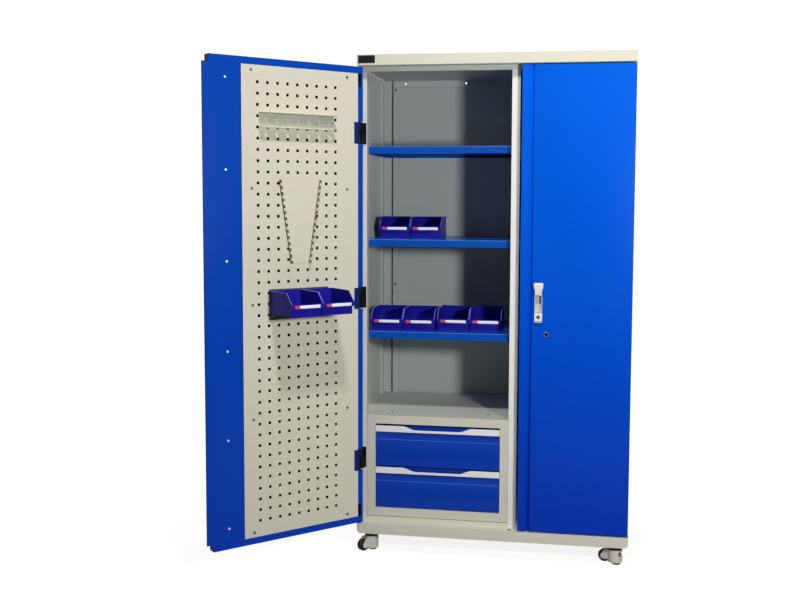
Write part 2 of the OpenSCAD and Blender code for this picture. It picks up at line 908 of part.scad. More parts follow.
// Plain panel along the free edge; its lap reaches behind the right door.
module left_door_stiffener() {
    x0 = panel_x1 + 0.2;
    x1 = left_edge_x + lap;
    z0 = panel_z0 + 0.2;
    z1 = panel_z1 - 0.2;
    fold = 7;
    color([0.03, 0.24, 0.72])
        on_left_door() {
            block([x0, in_y - sheet, z0], [x1, in_y, z1]);
            block([x1 - sheet, in_y - fold, z0], [x1, in_y, z1]);
            block([x0, in_y - 18, z0], [x0 + sheet, in_y, z1]);
        }
}

module pegboard() {
    z_mid = (panel_z0 + panel_z1) / 2;
    row0 = z_mid - (hole_rows - 1) / 2 * hole_pitch;
    color([0.86, 0.84, 0.76])
        on_left_door()
            translate([0, panel_y, 0])
                rotate([90, 0, 0])
                    linear_extrude(panel_t)
                        difference() {
                            translate([panel_x0, panel_z0])
                                square([panel_x1 - panel_x0, panel_z1 - panel_z0]);
                            for (c = [0 : hole_cols - 1], r = [0 : hole_rows - 1])
                                translate([
                                    panel_x0 + hole_margin + c * hole_pitch - hole_side / 2,
                                    row0 + r * hole_pitch - hole_side / 2
                                ])
                                    square(hole_side);
                        }
}

module left_door_fasteners() {
    z_mid = (panel_z0 + panel_z1) / 2;
    screw_edge = 12;
    left_in = 46;
    right_in = 36;
    last = floor(((panel_z1 - panel_z0) / 2 - screw_edge) / screw_pitch);
    rivet_x = panel_x1 + edge_panel_w / 2 + 0.5;
    rivet_edge = 48;
    rivets = 6;
    rivet_pitch = (panel_z1 - panel_z0 - 2 * rivet_edge) / (rivets - 1);
    color([0.70, 0.70, 0.68])
        on_left_door() {
            for (x = [panel_x0 + left_in, panel_x1 - right_in], k = [-last : last])
                screw_y(x, panel_y, z_mid + k * screw_pitch, 4.5, 2.4, true);
            for (k = [0 : rivets - 1])
                screw_y(rivet_x, in_y, panel_z0 + rivet_edge + k * rivet_pitch, 4, 1.8, true);
        }
}

// ---- What hangs on the perforated panel ----

// Hook through one of the panel's square holes, nearest to a wanted place.
module peg_hook(col, row) {
    z_mid = (panel_z0 + panel_z1) / 2;
    x = panel_x0 + hole_margin + col * hole_pitch;
    z = z_mid + (row - (hole_rows - 1) / 2) * hole_pitch;
    block([x - 2, hook_y - panel_t - 3, z - 4], [x + 2, hook_y + 1, z]);
    block([x - 2, hook_y - panel_t - 3, z - 4], [x + 2, hook_y - panel_t - slip, z + 4.5]);
}

function row_z(row) = (panel_z0 + panel_z1) / 2 + (row - (hole_rows - 1) / 2) * hole_pitch;
function col_x(col) = panel_x0 + hole_margin + col * hole_pitch;

// Channel-shaped rack: a strip on the panel and two slotted shelves that stand out.
module tool_rack() {
    row = 37;
    t = 1.2;
    slot_in = 12.6;
    slot_edge = 6;
    x0 = col_x(4) - rack_l / 2 + 2.5;
    x1 = x0 + rack_l;
    z1 = row_z(row) + 11;
    z0 = z1 - rack_h;
    slot0 = (x0 + x1) / 2 - (rack_slots - 1) / 2 * rack_pitch;
    color([0.70, 0.72, 0.66])
        on_left_door() {
            difference() {
                translate([x0, 0, 0])
                    rotate([90, 0, 90])
                        linear_extrude(x1 - x0)
                            polygon([
                                [hook_y + slip, z0], [hook_y + rack_d, z0],
                                [hook_y + rack_d, z0 + t], [hook_y + slip + t, z0 + t],
                                [hook_y + slip + t, z1 - t], [hook_y + rack_d, z1 - t],
                                [hook_y + rack_d, z1], [hook_y + slip, z1]
                            ]);
                for (k = [0 : rack_slots - 1])
                    block([slot0 + k * rack_pitch - 3.2, hook_y + slot_in, z0 - 1],
                        [slot0 + k * rack_pitch + 3.2, hook_y + rack_d - slot_edge, z1 + 1]);
            }
            for (col = [1, 7])
                peg_hook(col, row);
        }
}

// Notched side of the wrench rack, standing on the line x = 0 and leaning with it.
module wrench_side(length) {
    t = 1.2;
    pitch = length / (wrench_notches + 0.4);
    difference() {
        block([0, hook_y + slip, 0], [t, hook_y + wrench_d, length]);
        for (k = [0 : wrench_notches - 1])
            block([-1, hook_y + wrench_d - 14, (k + 0.45) * pitch],
                [t + 1, hook_y + wrench_d + 1, (k + 0.45) * pitch + pitch * 0.5]);
    }
}

module wrench_rack() {
    row = 31;
    t = 1.2;
    mid = col_x(4) - 6;
    z1 = row_z(row) + 12;
    z0 = z1 - wrench_h;
    half0 = wrench_bottom_w / 2;
    half1 = wrench_top_w / 2;
    tilt = atan2(half1 - half0, wrench_h);
    side_l = norm([half1 - half0, wrench_h]);
    color([0.84, 0.82, 0.75])
        on_left_door() {
            translate([mid, hook_y + slip + t, 0])
                rotate([90, 0, 0])
                    linear_extrude(t)
                        polygon([[-half0, z0], [half0, z0], [half1, z1], [-half1, z1]]);
            for (flip = [0, 1])
                translate([mid, 0, 0])
                    mirror([flip, 0, 0])
                        translate([half0 - t, 0, z0])
                            rotate([0, tilt, 0])
                                wrench_side(side_l);
            for (col = [3, 5])
                peg_hook(col, row);
        }
}

// Plate on the panel with a ledge for the bins' hooks.
module bin_rail() {
    left_by = 3;
    hole_in = 12;
    hole_step = 38;
    z1 = row_z(bin_rail_row) + 13;
    x0 = col_x(4) - left_by - bin_rail_w / 2;
    x1 = x0 + bin_rail_w;
    y0 = hook_y + slip;
    low = z1 - bin_rail_h + hole_in;
    color([0.42, 0.43, 0.40])
        on_left_door() {
            difference() {
                block([x0, y0, z1 - bin_rail_h], [x1, y0 + bin_rail_t, z1]);
                for (x = [x0 + hole_in, x1 - hole_in], z = [low, low + hole_step])
                    bar_y(x, z, 4, y0 - 1, y0 + bin_rail_t + 1);
            }
            block([x0, y0, z1 - 15], [x1, y0 + bin_rail_t + bin_ledge, z1 - 13]);
            block([x0, y0 + bin_rail_t + bin_ledge - 1.5, z1 - 15],
                [x1, y0 + bin_rail_t + bin_ledge, z1 - 7]);
            for (col = [1, 6])
                peg_hook(col, bin_rail_row);
        }
}

// Storage bin, back wall at y = 0, open at the top and above its front lip.
module bin() {
    rim = 2;
    lip_z = bin_front_h - 15;
    lip_y = 12;
    slope_y = 38;
    top_y = bin_d - slope_y;
    y_front = bin_d - lip_y;
    x0 = rim;
    x1 = bin_w - rim;
    w = bin_wall;
    difference() {
        union() {
            translate([x0, 0, 0])
                rotate([90, 0, 90])
                    linear_extrude(x1 - x0)
                        polygon([
                            [0, 0], [y_front, 0], [y_front, lip_z - 2], [bin_d, lip_z],
                            [bin_d, bin_front_h], [top_y, bin_h], [0, bin_h]
                        ]);
            rotate([90, 0, 90])
                linear_extrude(bin_w)
                    polygon([
                        [0, bin_h - 4], [top_y - 2, bin_h - 4], [bin_d - 3, bin_front_h - 3],
                        [bin_d - 3, lip_z], [bin_d, lip_z], [bin_d, bin_front_h],
                        [top_y, bin_h], [0, bin_h]
                    ]);
        }
        translate([x0 + w, 0, 0])
            rotate([90, 0, 90])
                linear_extrude(x1 - x0 - 2 * w)
                    polygon([
                        [w, w], [y_front - w, w], [y_front - w, lip_z - 0.5],
                        [bin_d - w, lip_z + w], [bin_d - w, bin_h + 1], [w, bin_h + 1]
                    ]);
    }
}

// Two bins side by side, fronts facing -Y at y = 0.
module bin_pair() {
    for (k = [0, 1])
        translate([(k + 1) * bin_w - 0.2 * (1 - k), bin_d, 0])
            rotate([0, 0, 180])
                bin();
}

module door_bins() {
    z1 = row_z(bin_rail_row) + 13;
    y0 = hook_y + slip + bin_rail_t + bin_ledge;
    left_by = 10;
    x0 = col_x(4) - left_by - bin_w;
    seat_z = z1 - 7;
    color([0.16, 0.10, 0.62])
        on_left_door() {
            translate([x0 + 2 * bin_w, y0 + slip + bin_d, seat_z + slip + 2 - bin_h])
                rotate([0, 0, 180])
                    bin_pair();
            for (k = [0, 1])
                translate([x0 + k * bin_w, 0, seat_z + slip]) {
                    block([12, y0 - bin_ledge + slip, 0], [bin_w - 12, y0 + slip + 1, 2]);
                    block([12, y0 - bin_ledge + slip, -5], [bin_w - 12, y0 - 1.5 - slip, 2]);
                }
        }
}

module bins_on_shelf(x, y, i) {
    color([0.16, 0.10, 0.62])
        cabinet()
            translate([x, y, shelf_level(i)])
                bin_pair();
}

module middle_shelf_bins() {
    bins_on_shelf(bin_start, shelf_y1 - middle_bins_rear - bin_d, 1);
}

module lower_left_bins() {
    bins_on_shelf(bin_start, shelf_y0 + bins_back, 2);
}

module lower_right_bins() {
    bins_on_shelf(bin_start + 2 * bin_w + 4, shelf_y0 + right_bins_back, 2);
}

// ---- Right door ----

// Plan of the door's sheet: face strip, groove, face, and the return at the hinges.
module right_door_plan() {
    x0 = right_edge_x;
    x1 = x0 + strip_w;
    x2 = x1 + groove_w;
    x3 = width - side_gap;
    y0 = door_setback;
    y1 = y0 + groove_d;
    t = sheet;
    lip = border_w + panel_lip;
    polygon([
        [x0, y0], [x1, y0], [x2 - 3, y1], [x2, y1], [x2, y0], [x3, y0], [x3, in_y],
        [x3 - lip, in_y], [x3 - lip, in_y - t], [x3 - t, in_y - t], [x3 - t, y0 + t],
        [x2 + t, y0 + t], [x2 + t, y1 + t], [x2 - 3 - t / 2, y1 + t],
        [x1 - t / 2, y0 + t], [x0 + t, y0 + t], [x0 + t, in_y - 12], [x0 + 12, in_y - 12],
        [x0 + 12, in_y - 12 + t], [x0, in_y - 12 + t]
    ]);
}

// Plan of the plates that close the door at top and bottom.
module right_door_end_plan() {
    x0 = right_edge_x;
    x1 = x0 + strip_w;
    x2 = x1 + groove_w;
    x3 = width - side_gap;
    y0 = door_setback;
    y1 = y0 + groove_d;
    polygon([
        [x0, y0], [x1, y0], [x2 - 3, y1], [x2, y1], [x2, y0], [x3, y0], [x3, in_y],
        [liner_x1 - 4, in_y], [liner_x1 - 4, in_y - 12], [x0, in_y - 12]
    ]);
}

module right_door_skin() {
    x3 = width - side_gap;
    dish = 12.5;
    color([0.03, 0.25, 0.76])
        cabinet()
            difference() {
                union() {
                    translate([0, 0, door_z0])
                        linear_extrude(door_z1 - door_z0)
                            right_door_plan();
                    for (z = [door_z0, door_z1 - sheet])
                        translate([0, 0, z])
                            linear_extrude(sheet)
                                right_door_end_plan();
                    for (z = [door_z0, door_z1 - border_h - 20])
                        block([liner_x1 - 4, in_y - sheet, z], [x3, in_y, z + border_h + 20]);
                }
                other_side()
                    hinge_notches();
                block([handle_x - dish, 0, handle_z + 35], [handle_x + dish, door_setback + 2, handle_z + 99]);
                bar_y(handle_x, key_z, core_r + 2.8, 0, door_setback + 2);
                bar_y(cam_x, cam_z, core_r + 1.8, 0, door_setback + 2);
                translate([handle_x, rod_y, door_z0 - 1])
                    cylinder(r = rod_r + 0.6, h = sheet + 2);
                translate([handle_x, rod_y, door_z1 - sheet - 1])
                    cylinder(r = rod_r + 0.6, h = sheet + 2);
            }
}

// Plain inner panel with the guides of the lock rods.
module right_door_liner() {
    x1 = width - panel_x0;
    guide_in = 21;
    guide_zs = [
        panel_z0 + guide_in, (door_z0 + key_z) / 2, key_z - 92,
        key_z + 128, (door_z1 + key_z) / 2, panel_z1 - guide_in - 3
    ];
    color([0.03, 0.24, 0.70])
        cabinet()
            difference() {
                union() {
                    block([liner_x1, in_y, panel_z0], [x1, panel_y, panel_z1]);
                    block([liner_x1, in_y - 14, panel_z0 + panel_lip],
                        [liner_x1 + sheet, in_y + 0.5, panel_z1 - panel_lip]);
                    for (z = guide_zs)
                        block([handle_x - 11, rod_y - 8, z], [handle_x + 11, in_y + 0.5, z + 3]);
                }
                for (z = guide_zs)
                    translate([handle_x, rod_y, z - 1])
                        cylinder(r = rod_r + fit, h = 5);
            }
}

module lock_rod(z0, z1) {
    color([0.72, 0.73, 0.75])
        cabinet()
            translate([handle_x, rod_y, z0])
                cylinder(r = rod_r, h = z1 - z0);
}

module upper_lock_rod() {
    lock_rod(key_z + 13, door_z1 - 0.5);
}

module lower_lock_rod() {
    lock_rod(door_z0 + 0.5, key_z - 13);
}

// Fixed body of the handle: back plate, finger dish, lock block and the lever's pin.
module handle_housing() {
    half = handle_w / 2;
    z1 = handle_z + handle_h;
    dish0 = handle_z + 38;
    dish1 = handle_z + 96;
    face = door_setback;
    color([0.86, 0.86, 0.84])
        cabinet()
            translate([handle_x, 0, 0])
                difference() {
                    union() {
                        block([-half, -6, handle_z + 6], [half, face, z1 - 47]);
                        block([-half + 2, -4, z1 - 48], [half - 2, face, z1 - 20]);
                        block([-half + 2, -0.5, z1 - 21], [half - 2, face, z1 - 2]);
                        block([-half + 0.5, -9, handle_z + 6], [half - 0.5, face, handle_z + 34]);
                        block([-half, -7, handle_z], [half, face, handle_z + 7]);
                        block([-12, face - 1, dish0 - 2], [12, 14, dish1 + 2]);
                        bar_y(0, key_z, core_r + 2.5, 0, 13);
                        block([-5, lever_axis_y - 4, lever_axis_z - 7], [5, 0, lever_axis_z + 4]);
                        translate([-12, lever_axis_y, lever_axis_z])
                            rotate([0, 90, 0])
                                cylinder(r = 2, h = 24);
                    }
                    translate([-10.6, 0, 0])
                        rotate([90, 0, 90])
                            linear_extrude(21.2)
                                polygon([
                                    [-20, dish0], [-5.5, dish0], [12, dish1 - 20],
                                    [12, dish1], [-20, dish1]
                                ]);
                    bar_y(0, key_z, core_r + fit, -20, 20);
                }
}

// Lever that is pulled out by its lower edge; it turns on the pin near its top.
module handle_lever() {
    z1 = handle_h - 2;
    low = handle_h - 47;
    lug = 5 + slip;
    color([0.93, 0.93, 0.92])
        cabinet()
            translate([handle_x, 0, 0])
                difference() {
                    translate([0, -4.4, handle_z])
                        rotate([90, 0, 0])
                            linear_extrude(12)
                                polygon([
                                    [-17, z1], [17, z1], [17.5, z1 - 10], [15, z1 - 24],
                                    [13, z1 - 29], [13, low], [-13, low], [-13, z1 - 29],
                                    [-15, z1 - 24], [-17.5, z1 - 10]
                                ]);
                    block([-lug, -13.5, lever_axis_z - 13], [lug, 0, lever_axis_z + 20]);
                    translate([-12 - slip, lever_axis_y, lever_axis_z])
                        rotate([0, 90, 0])
                            cylinder(r = 2 + fit, h = 24 + 2 * slip);
                }
}

// Key slot cut into a core's face at y.
module key_slot(x, y, z) {
    block([x - 0.8, y - 1, z - 4], [x + 0.8, y + 4, z + 4]);
}

module handle_key_core() {
    color([0.35, 0.37, 0.36])
        cabinet()
            difference() {
                union() {
                    bar_y(handle_x, key_z, core_r, -9.6, 14);
                    bar_y(handle_x, key_z, 4, 13, 27);
                    bar_y(handle_x, key_z, 11, 26, 29);
                }
                key_slot(handle_x, -9.6, key_z);
            }
}

module cam_lock_barrel() {
    color([0.75, 0.76, 0.78])
        cabinet()
            difference() {
                union() {
                    bar_y(cam_x, cam_z, core_r + 3, -1.5, door_setback);
                    bar_y(cam_x, cam_z, core_r + 1.5, 0, 20);
                }
                bar_y(cam_x, cam_z, core_r + fit, -5, 21);
            }
}

module cam_lock_core() {
    color([0.55, 0.56, 0.58])
        cabinet()
            difference() {
                union() {
                    bar_y(cam_x, cam_z, core_r, -1.9, 25);
                    block([cam_x - 6, 24.6, cam_z - 34], [cam_x + 6, 27, cam_z + 6]);
                }
                key_slot(cam_x, -1.9, cam_z);
            }
}

// ---- Castors ----

module at_castor(k) {
    x = k % 2 == 0 ? castor_in_x : width - castor_in_x;
    y = k < 2 ? castor_in_y : depth - castor_in_y;
    cabinet()
        translate([x, y, 0])
            children();
}

// Top plate bolted to the base, with the cup in which the yoke swivels.
module castor_mounts() {
    half = castor_plate / 2;
    bolt = half - 5.5;
    color([0.05, 0.05, 0.05])
        for (k = [0 : 3])
            at_castor(k)
                difference() {
                    union() {
                        block([-half, -half, -4], [half, half, 0]);
                        translate([0, 0, cup_z])
                            cylinder(r = cup_r, h = -cup_z - 2);
                    }
                    translate([0, 0, cup_z - 1])
                        cylinder(r = 8 + fit, h = 14);
                    for (dx = [-bolt, bolt], dy = [-bolt, bolt])
                        translate([dx, dy, -5])
                            cylinder(r = 3.3, h = 6);
                }
}

// Swivelling body: head, wheel cheeks with axle, and under the head the housing of the
// levelling screw, with a window on the side away from the wheel.
module castor_yoke(k) {
    head_z = cup_z - slip;
    floor_z = -castor_h;
    cheek = 3;
    gap = wheel_w / 2 + 1;
    color([0.84, 0.83, 0.76])
        at_castor(k)
            rotate([0, 0, castor_angles[k]])
                difference() {
                    union() {
                        translate([0, 0, head_z - 7])
                            cylinder(r = cup_r, h = 7);
                        translate([0, 0, head_z - 1])
                            cylinder(r = 8, h = 12);
                        translate([0, 0, floor_z + 9])
                            cylinder(r = housing_r, h = castor_h - 9 + head_z - 1);
                        for (side = [-gap - cheek, gap])
                            translate([0, side + cheek, 0])
                                rotate([90, 0, 0])
                                    linear_extrude(cheek)
                                        polygon([
                                            [0, head_z - 3], [trail - 4, head_z - 3],
                                            [trail + 11, axle_z + 2], [trail + 9, axle_z - 8],
                                            [trail, axle_z - 11], [0, axle_z - 8]
                                        ]);
                        translate([trail, gap + cheek, axle_z])
                            rotate([90, 0, 0])
                                cylinder(r = 3, h = 2 * (gap + cheek));
                    }
                    difference() {
                        translate([trail, gap, axle_z])
                            rotate([90, 0, 0])
                                cylinder(r = wheel_r + 1, h = 2 * gap);
                        translate([trail, gap + 1, axle_z])
                            rotate([90, 0, 0])
                                cylinder(r = 3, h = 2 * gap + 2);
                    }
                    translate([foot_x, 0, floor_z + dial_z - pad_travel - 1.5])
                        cylinder(r = dial_r + 0.8, h = dial_h + pad_travel + 3);
                    translate([foot_x, 0, floor_z])
                        cylinder(r = 6 + fit, h = screw_h + 2);
                    block([-housing_r - 1, -17, floor_z + dial_z - 5],
                        [-12, 17, floor_z + dial_z + dial_h + 1]);
                }
}

// Moulded wheel with a crowned tread and a sunk hub.
module castor_wheel(k) {
    half = wheel_w / 2;
    color([0.06, 0.06, 0.06])
        at_castor(k)
            rotate([0, 0, castor_angles[k]])
                translate([trail, 0, axle_z])
                    rotate([90, 0, 0])
                        rotate_extrude()
                            polygon([
                                [3 + fit, -half], [9, -half], [10, -half + 2], [wheel_r - 7, -half + 2],
                                [wheel_r - 5, -half], [wheel_r - 2, -half], [wheel_r, -half + 3],
                                [wheel_r, half - 3], [wheel_r - 2, half], [wheel_r - 5, half],
                                [wheel_r - 7, half - 2], [10, half - 2], [9, half], [3 + fit, half]
                            ]);
}

// Levelling pad on its screw, with the thumb dial that shows in the housing's window.
module castor_foot(k) {
    color([0.55, 0.08, 0.08])
        at_castor(k)
            rotate([0, 0, castor_angles[k]])
                translate([foot_x, 0, -castor_h]) {
                    cylinder(r = pad_r, h = 5);
                    translate([0, 0, 4])
                        cylinder(r = 6, h = screw_h - 4);
                    difference() {
                        translate([0, 0, dial_z])
                            cylinder(r = dial_r, h = dial_h);
                        for (a = [0 : 20 : 340])
                            rotate([0, 0, a])
                                translate([dial_r + 0.6, 0, dial_z - 1])
                                    cylinder(r = 1.4, h = dial_h + 2, $fn = 16);
                    }
                }
}

module castor_front_left_yoke() {
    castor_yoke(0);
}

module castor_front_left_wheel() {
    castor_wheel(0);
}

module castor_front_left_foot() {
    castor_foot(0);
}

module castor_front_right_yoke() {
    castor_yoke(1);
}

module castor_front_right_wheel() {
    castor_wheel(1);
}

module castor_front_right_foot() {
    castor_foot(1);
}

module castor_rear_left_yoke() {
    castor_yoke(2);
}

module castor_rear_left_wheel() {
    castor_wheel(2);
}

module castor_rear_left_foot() {
    castor_foot(2);
}

module castor_rear_right_yoke() {
    castor_yoke(3);
}

module castor_rear_right_wheel() {
    castor_wheel(3);
}

module castor_rear_right_foot() {
    castor_foot(3);
}

base_tray();
top_cap();
roof_panel();
left_side_panel();
right_side_panel();
back_panel();
centre_post();
partition_panel();
shelf_standards();
shelf_clips();
upper_shelf();
middle_shelf();
lower_shelf();
right_shelves();
drawer_housing();
drawer_runners();
badge_plate();
frame_hinge_halves();
carcass_fasteners();
castor_mounts();
left_door_skin();
left_door_stiffener();
pegboard();
left_door_fasteners();
left_hinge_leaves();
tool_rack();
wrench_rack();
bin_rail();
door_bins();
right_door_skin();
right_door_liner();
right_hinge_leaves();
handle_housing();
handle_lever();
handle_key_core();
cam_lock_barrel();
cam_lock_core();
upper_lock_rod();
lower_lock_rod();
upper_drawer_tub();
upper_drawer_front();
upper_drawer_handle();
lower_drawer_tub();
lower_drawer_front();
lower_drawer_handle();
castor_front_left_yoke();
castor_front_left_wheel();
castor_front_left_foot();
castor_front_right_yoke();
castor_front_right_wheel();
castor_front_right_foot();
castor_rear_left_yoke();
castor_rear_left_wheel();
castor_rear_left_foot();
castor_rear_right_yoke();
castor_rear_right_wheel();
castor_rear_right_foot();
middle_shelf_bins();
lower_left_bins();
lower_right_bins();
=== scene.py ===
import json
import math

import bmesh
import bpy
import numpy as np
from mathutils import Matrix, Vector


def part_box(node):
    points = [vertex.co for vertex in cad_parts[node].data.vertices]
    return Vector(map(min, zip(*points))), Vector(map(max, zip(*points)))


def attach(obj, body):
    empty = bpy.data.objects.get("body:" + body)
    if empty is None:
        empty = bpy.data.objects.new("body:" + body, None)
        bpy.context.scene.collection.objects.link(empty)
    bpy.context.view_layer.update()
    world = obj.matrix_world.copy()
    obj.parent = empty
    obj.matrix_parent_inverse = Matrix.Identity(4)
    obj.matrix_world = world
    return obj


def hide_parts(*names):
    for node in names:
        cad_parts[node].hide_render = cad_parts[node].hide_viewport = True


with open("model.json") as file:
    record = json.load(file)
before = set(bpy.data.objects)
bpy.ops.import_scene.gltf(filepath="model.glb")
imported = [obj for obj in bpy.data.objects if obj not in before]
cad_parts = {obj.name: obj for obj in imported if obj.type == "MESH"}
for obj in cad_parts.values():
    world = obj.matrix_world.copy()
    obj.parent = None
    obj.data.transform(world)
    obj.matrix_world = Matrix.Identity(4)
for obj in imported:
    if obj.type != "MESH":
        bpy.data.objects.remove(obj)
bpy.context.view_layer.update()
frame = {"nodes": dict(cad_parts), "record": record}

# ---------------------------------------------------------------------------
# Base tray: folded 1.2 mm sheet with a skirt, rounded at its lower corners.
# Like every sheet of the cabinet it is powder coated: a smooth film with a
# faint orange peel, a little rubbed and dusted where hands and feet reach.

base_ivory = (0.78, 0.77, 0.66)
bend_radius = 0.0007


def effect(name, inputs, outputs):
    """An empty node group with the named inputs and outputs.
    inputs: name, socket kind and value; outputs: name and socket kind."""
    group = bpy.data.node_groups.new(name, "ShaderNodeTree")
    for label, kind, value in inputs:
        socket = group.interface.new_socket(label, in_out="INPUT", socket_type=kind)
        socket.default_value = value
    for label, kind in outputs:
        group.interface.new_socket(label, in_out="OUTPUT", socket_type=kind)
    return group, group.nodes.new("NodeGroupInput"), group.nodes.new("NodeGroupOutput")


def noise(tree, where, scale, detail=2.0, rough=0.5, stretch=None):
    """A noise texture on Object coordinates, its coordinates stretched first if asked."""
    texture = tree.nodes.new("ShaderNodeTexNoise")
    texture.inputs["Scale"].default_value = scale
    texture.inputs["Detail"].default_value = detail
    texture.inputs["Roughness"].default_value = rough
    if stretch:
        mapping = tree.nodes.new("ShaderNodeMapping")
        mapping.inputs["Scale"].default_value = stretch
        tree.links.new(where, mapping.inputs["Vector"])
        where = mapping.outputs["Vector"]
    tree.links.new(where, texture.inputs["Vector"])
    return texture.outputs["Fac"]


def span(tree, value, low, high, to_low=0.0, to_high=1.0):
    """value taken from the range low..high to the range to_low..to_high, and held there."""
    node = tree.nodes.new("ShaderNodeMapRange")
    tree.links.new(value, node.inputs["Value"])
    ends = {"From Min": low, "From Max": high, "To Min": to_low, "To Max": to_high}
    for label, number in ends.items():
        node.inputs[label].default_value = number
    return node.outputs["Result"]


def mixed(tree, amount, first, second):
    """The colour first turned into second by amount; each is a socket or a plain colour."""
    node = tree.nodes.new("ShaderNodeMix")
    node.data_type = "RGBA"
    for socket, value in ((node.inputs[0], amount), (node.inputs[6], first), (node.inputs[7], second)):
        if isinstance(value, bpy.types.NodeSocket):
            tree.links.new(value, socket)
        elif isinstance(value, tuple):
            socket.default_value = (*value, 1.0)
        else:
            socket.default_value = value
    return node.outputs[2]


def maths(tree, operation, first, second):
    """One Math node; each value is a socket or a number."""
    node = tree.nodes.new("ShaderNodeMath")
    node.operation = operation
    for socket, value in zip(node.inputs, (first, second)):
        if isinstance(value, bpy.types.NodeSocket):
            tree.links.new(value, socket)
        else:
            socket.default_value = value
    return node.outputs[0]


def outlook(tree):
    """The direction that the surface faces, as its X, Y and Z."""
    split = tree.nodes.new("ShaderNodeSeparateXYZ")
    tree.links.new(tree.nodes.new("ShaderNodeNewGeometry").outputs["Normal"], split.inputs[0])
    return split.outputs


def bumped(tree, strength, height, distance):
    """The surface's normal, tilted as if the height stood out by distance times strength."""
    bump = tree.nodes.new("ShaderNodeBump")
    bump.inputs["Distance"].default_value = distance
    tree.links.new(strength, bump.inputs["Strength"])
    tree.links.new(height, bump.inputs["Height"])
    return bump.outputs["Normal"]


def coating():
    """Powder coat: its colour drifts a little over the sheet, its gloss is broken by the peel, by
    cloudy wipe marks and by sparse rubs, and dust greys what looks up."""
    group, source, sink = effect(
        "powder_coat",
        [("Colour", "NodeSocketColor", (0.5, 0.5, 0.5, 1)), ("Drift", "NodeSocketFloat", 0.08),
         ("Gloss", "NodeSocketFloat", 0.32), ("Peel", "NodeSocketFloat", 0.16),
         ("Dust", "NodeSocketFloat", 0.25)],
        [("Colour", "NodeSocketColor"), ("Roughness", "NodeSocketFloat"), ("Normal", "NodeSocketVector")],
    )
    spot = group.nodes.new("ShaderNodeTexCoord").outputs["Object"]
    clouds = span(group, noise(group, spot, 1.7, 2.0), 0.3, 0.7)
    wipes = span(group, noise(group, spot, 9.0, 5.0, 0.6, (1.0, 1.0, 0.35)), 0.42, 0.75)
    rubs = span(group, noise(group, spot, 55.0, 3.0, 0.7, (1.0, 1.0, 0.08)), 0.70, 0.78)
    peel = noise(group, spot, 420.0, 1.5)
    specks = span(group, noise(group, spot, 160.0, 4.0, 0.75), 0.45, 0.80)
    darker = mixed(group, 0.22, source.outputs["Colour"], (0.0, 0.0, 0.0))
    drift = maths(group, "MULTIPLY", clouds, source.outputs["Drift"])
    drifted = mixed(group, drift, source.outputs["Colour"], darker)
    upward = span(group, outlook(group)["Z"], 0.6, 1.0)
    dusty = maths(group, "MULTIPLY", maths(group, "MULTIPLY", upward, specks), source.outputs["Dust"])
    group.links.new(mixed(group, dusty, drifted, (0.50, 0.48, 0.43)), sink.inputs["Colour"])
    rough = maths(group, "MULTIPLY", wipes, 0.05)
    rough = maths(group, "ADD", rough, maths(group, "MULTIPLY", rubs, 0.12))
    rough = maths(group, "ADD", rough, maths(group, "MULTIPLY", dusty, 0.8))
    rough = maths(group, "ADD", rough, source.outputs["Gloss"])
    group.links.new(rough, sink.inputs["Roughness"])
    group.links.new(bumped(group, source.outputs["Peel"], peel, 0.0003), sink.inputs["Normal"])
    return group


coat_group = coating()


def material(name, group, values, **plain):
    """A Principled material fed by a shared effect; plain values go on the shader's own sockets."""
    result = bpy.data.materials.new(name)
    result.use_nodes = True
    tree = result.node_tree
    shader = tree.nodes["Principled BSDF"]
    node = tree.nodes.new("ShaderNodeGroup")
    node.node_tree = group
    for label, value in values.items():
        node.inputs[label].default_value = (*value, 1.0) if isinstance(value, tuple) else value
    for label, target in (("Colour", "Base Color"), ("Roughness", "Roughness"), ("Normal", "Normal")):
        tree.links.new(node.outputs[label], shader.inputs[target])
    for label, value in plain.items():
        shader.inputs[label.replace("_", " ")].default_value = value
    return result


def powder_coat(name, colour, **values):
    """Powder-coated sheet in one colour, whose film mirrors half as much as plain plastic."""
    return material(name, coat_group, {"Colour": colour, **values}, Specular_IOR_Level=0.25)


body_of_node = {node: body for body, members in frame["record"]["behaviour"]["bodies"].items()
                for node in members}


def dressed(node, finish):
    """A CAD solid that keeps its mesh and gets its finish."""
    mesh = frame["nodes"][node].data
    mesh.materials.clear()
    mesh.materials.append(finish)


def rounded(node, finish, radius, segments=2):
    """A copy of a CAD solid with its doubles merged and its sharp edges rounded by a bevel
    of the given radius, standing for that solid."""
    sharp = math.radians(32)
    flat = math.radians(0.4)
    mesh = frame["nodes"][node].data.copy()
    mesh.name = node + "_edges"
    mesh.materials.clear()
    mesh.materials.append(finish)
    shape = bmesh.new()
    shape.from_mesh(mesh)
    bmesh.ops.remove_doubles(shape, verts=shape.verts, dist=2e-6)
    bmesh.ops.dissolve_limit(shape, angle_limit=flat, verts=shape.verts, edges=shape.edges)
    for face in shape.faces:
        face.material_index = 0
    shape.to_mesh(mesh)
    shape.free()
    mesh.shade_smooth()
    mesh.set_sharp_from_angle(angle=sharp)
    piece = bpy.data.objects.new(node + "_finished", mesh)
    bpy.context.scene.collection.objects.link(piece)
    edge = piece.modifiers.new("edges", "BEVEL")
    edge.width = radius
    edge.segments = segments
    edge.limit_method = "ANGLE"
    edge.angle_limit = sharp
    edge.use_clamp_overlap = True
    edge.harden_normals = True
    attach(piece, body_of_node[node])
    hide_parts(node)


coat_base = powder_coat("base_coat", base_ivory, Drift=0.10, Dust=0.08)
rounded("base_tray", coat_base, bend_radius)

# ---------------------------------------------------------------------------
# Cap and badge plate: the folded cap is the brightest ivory of the cabinet,
# and its front carries a small dark plate, left bare, with a raised border.

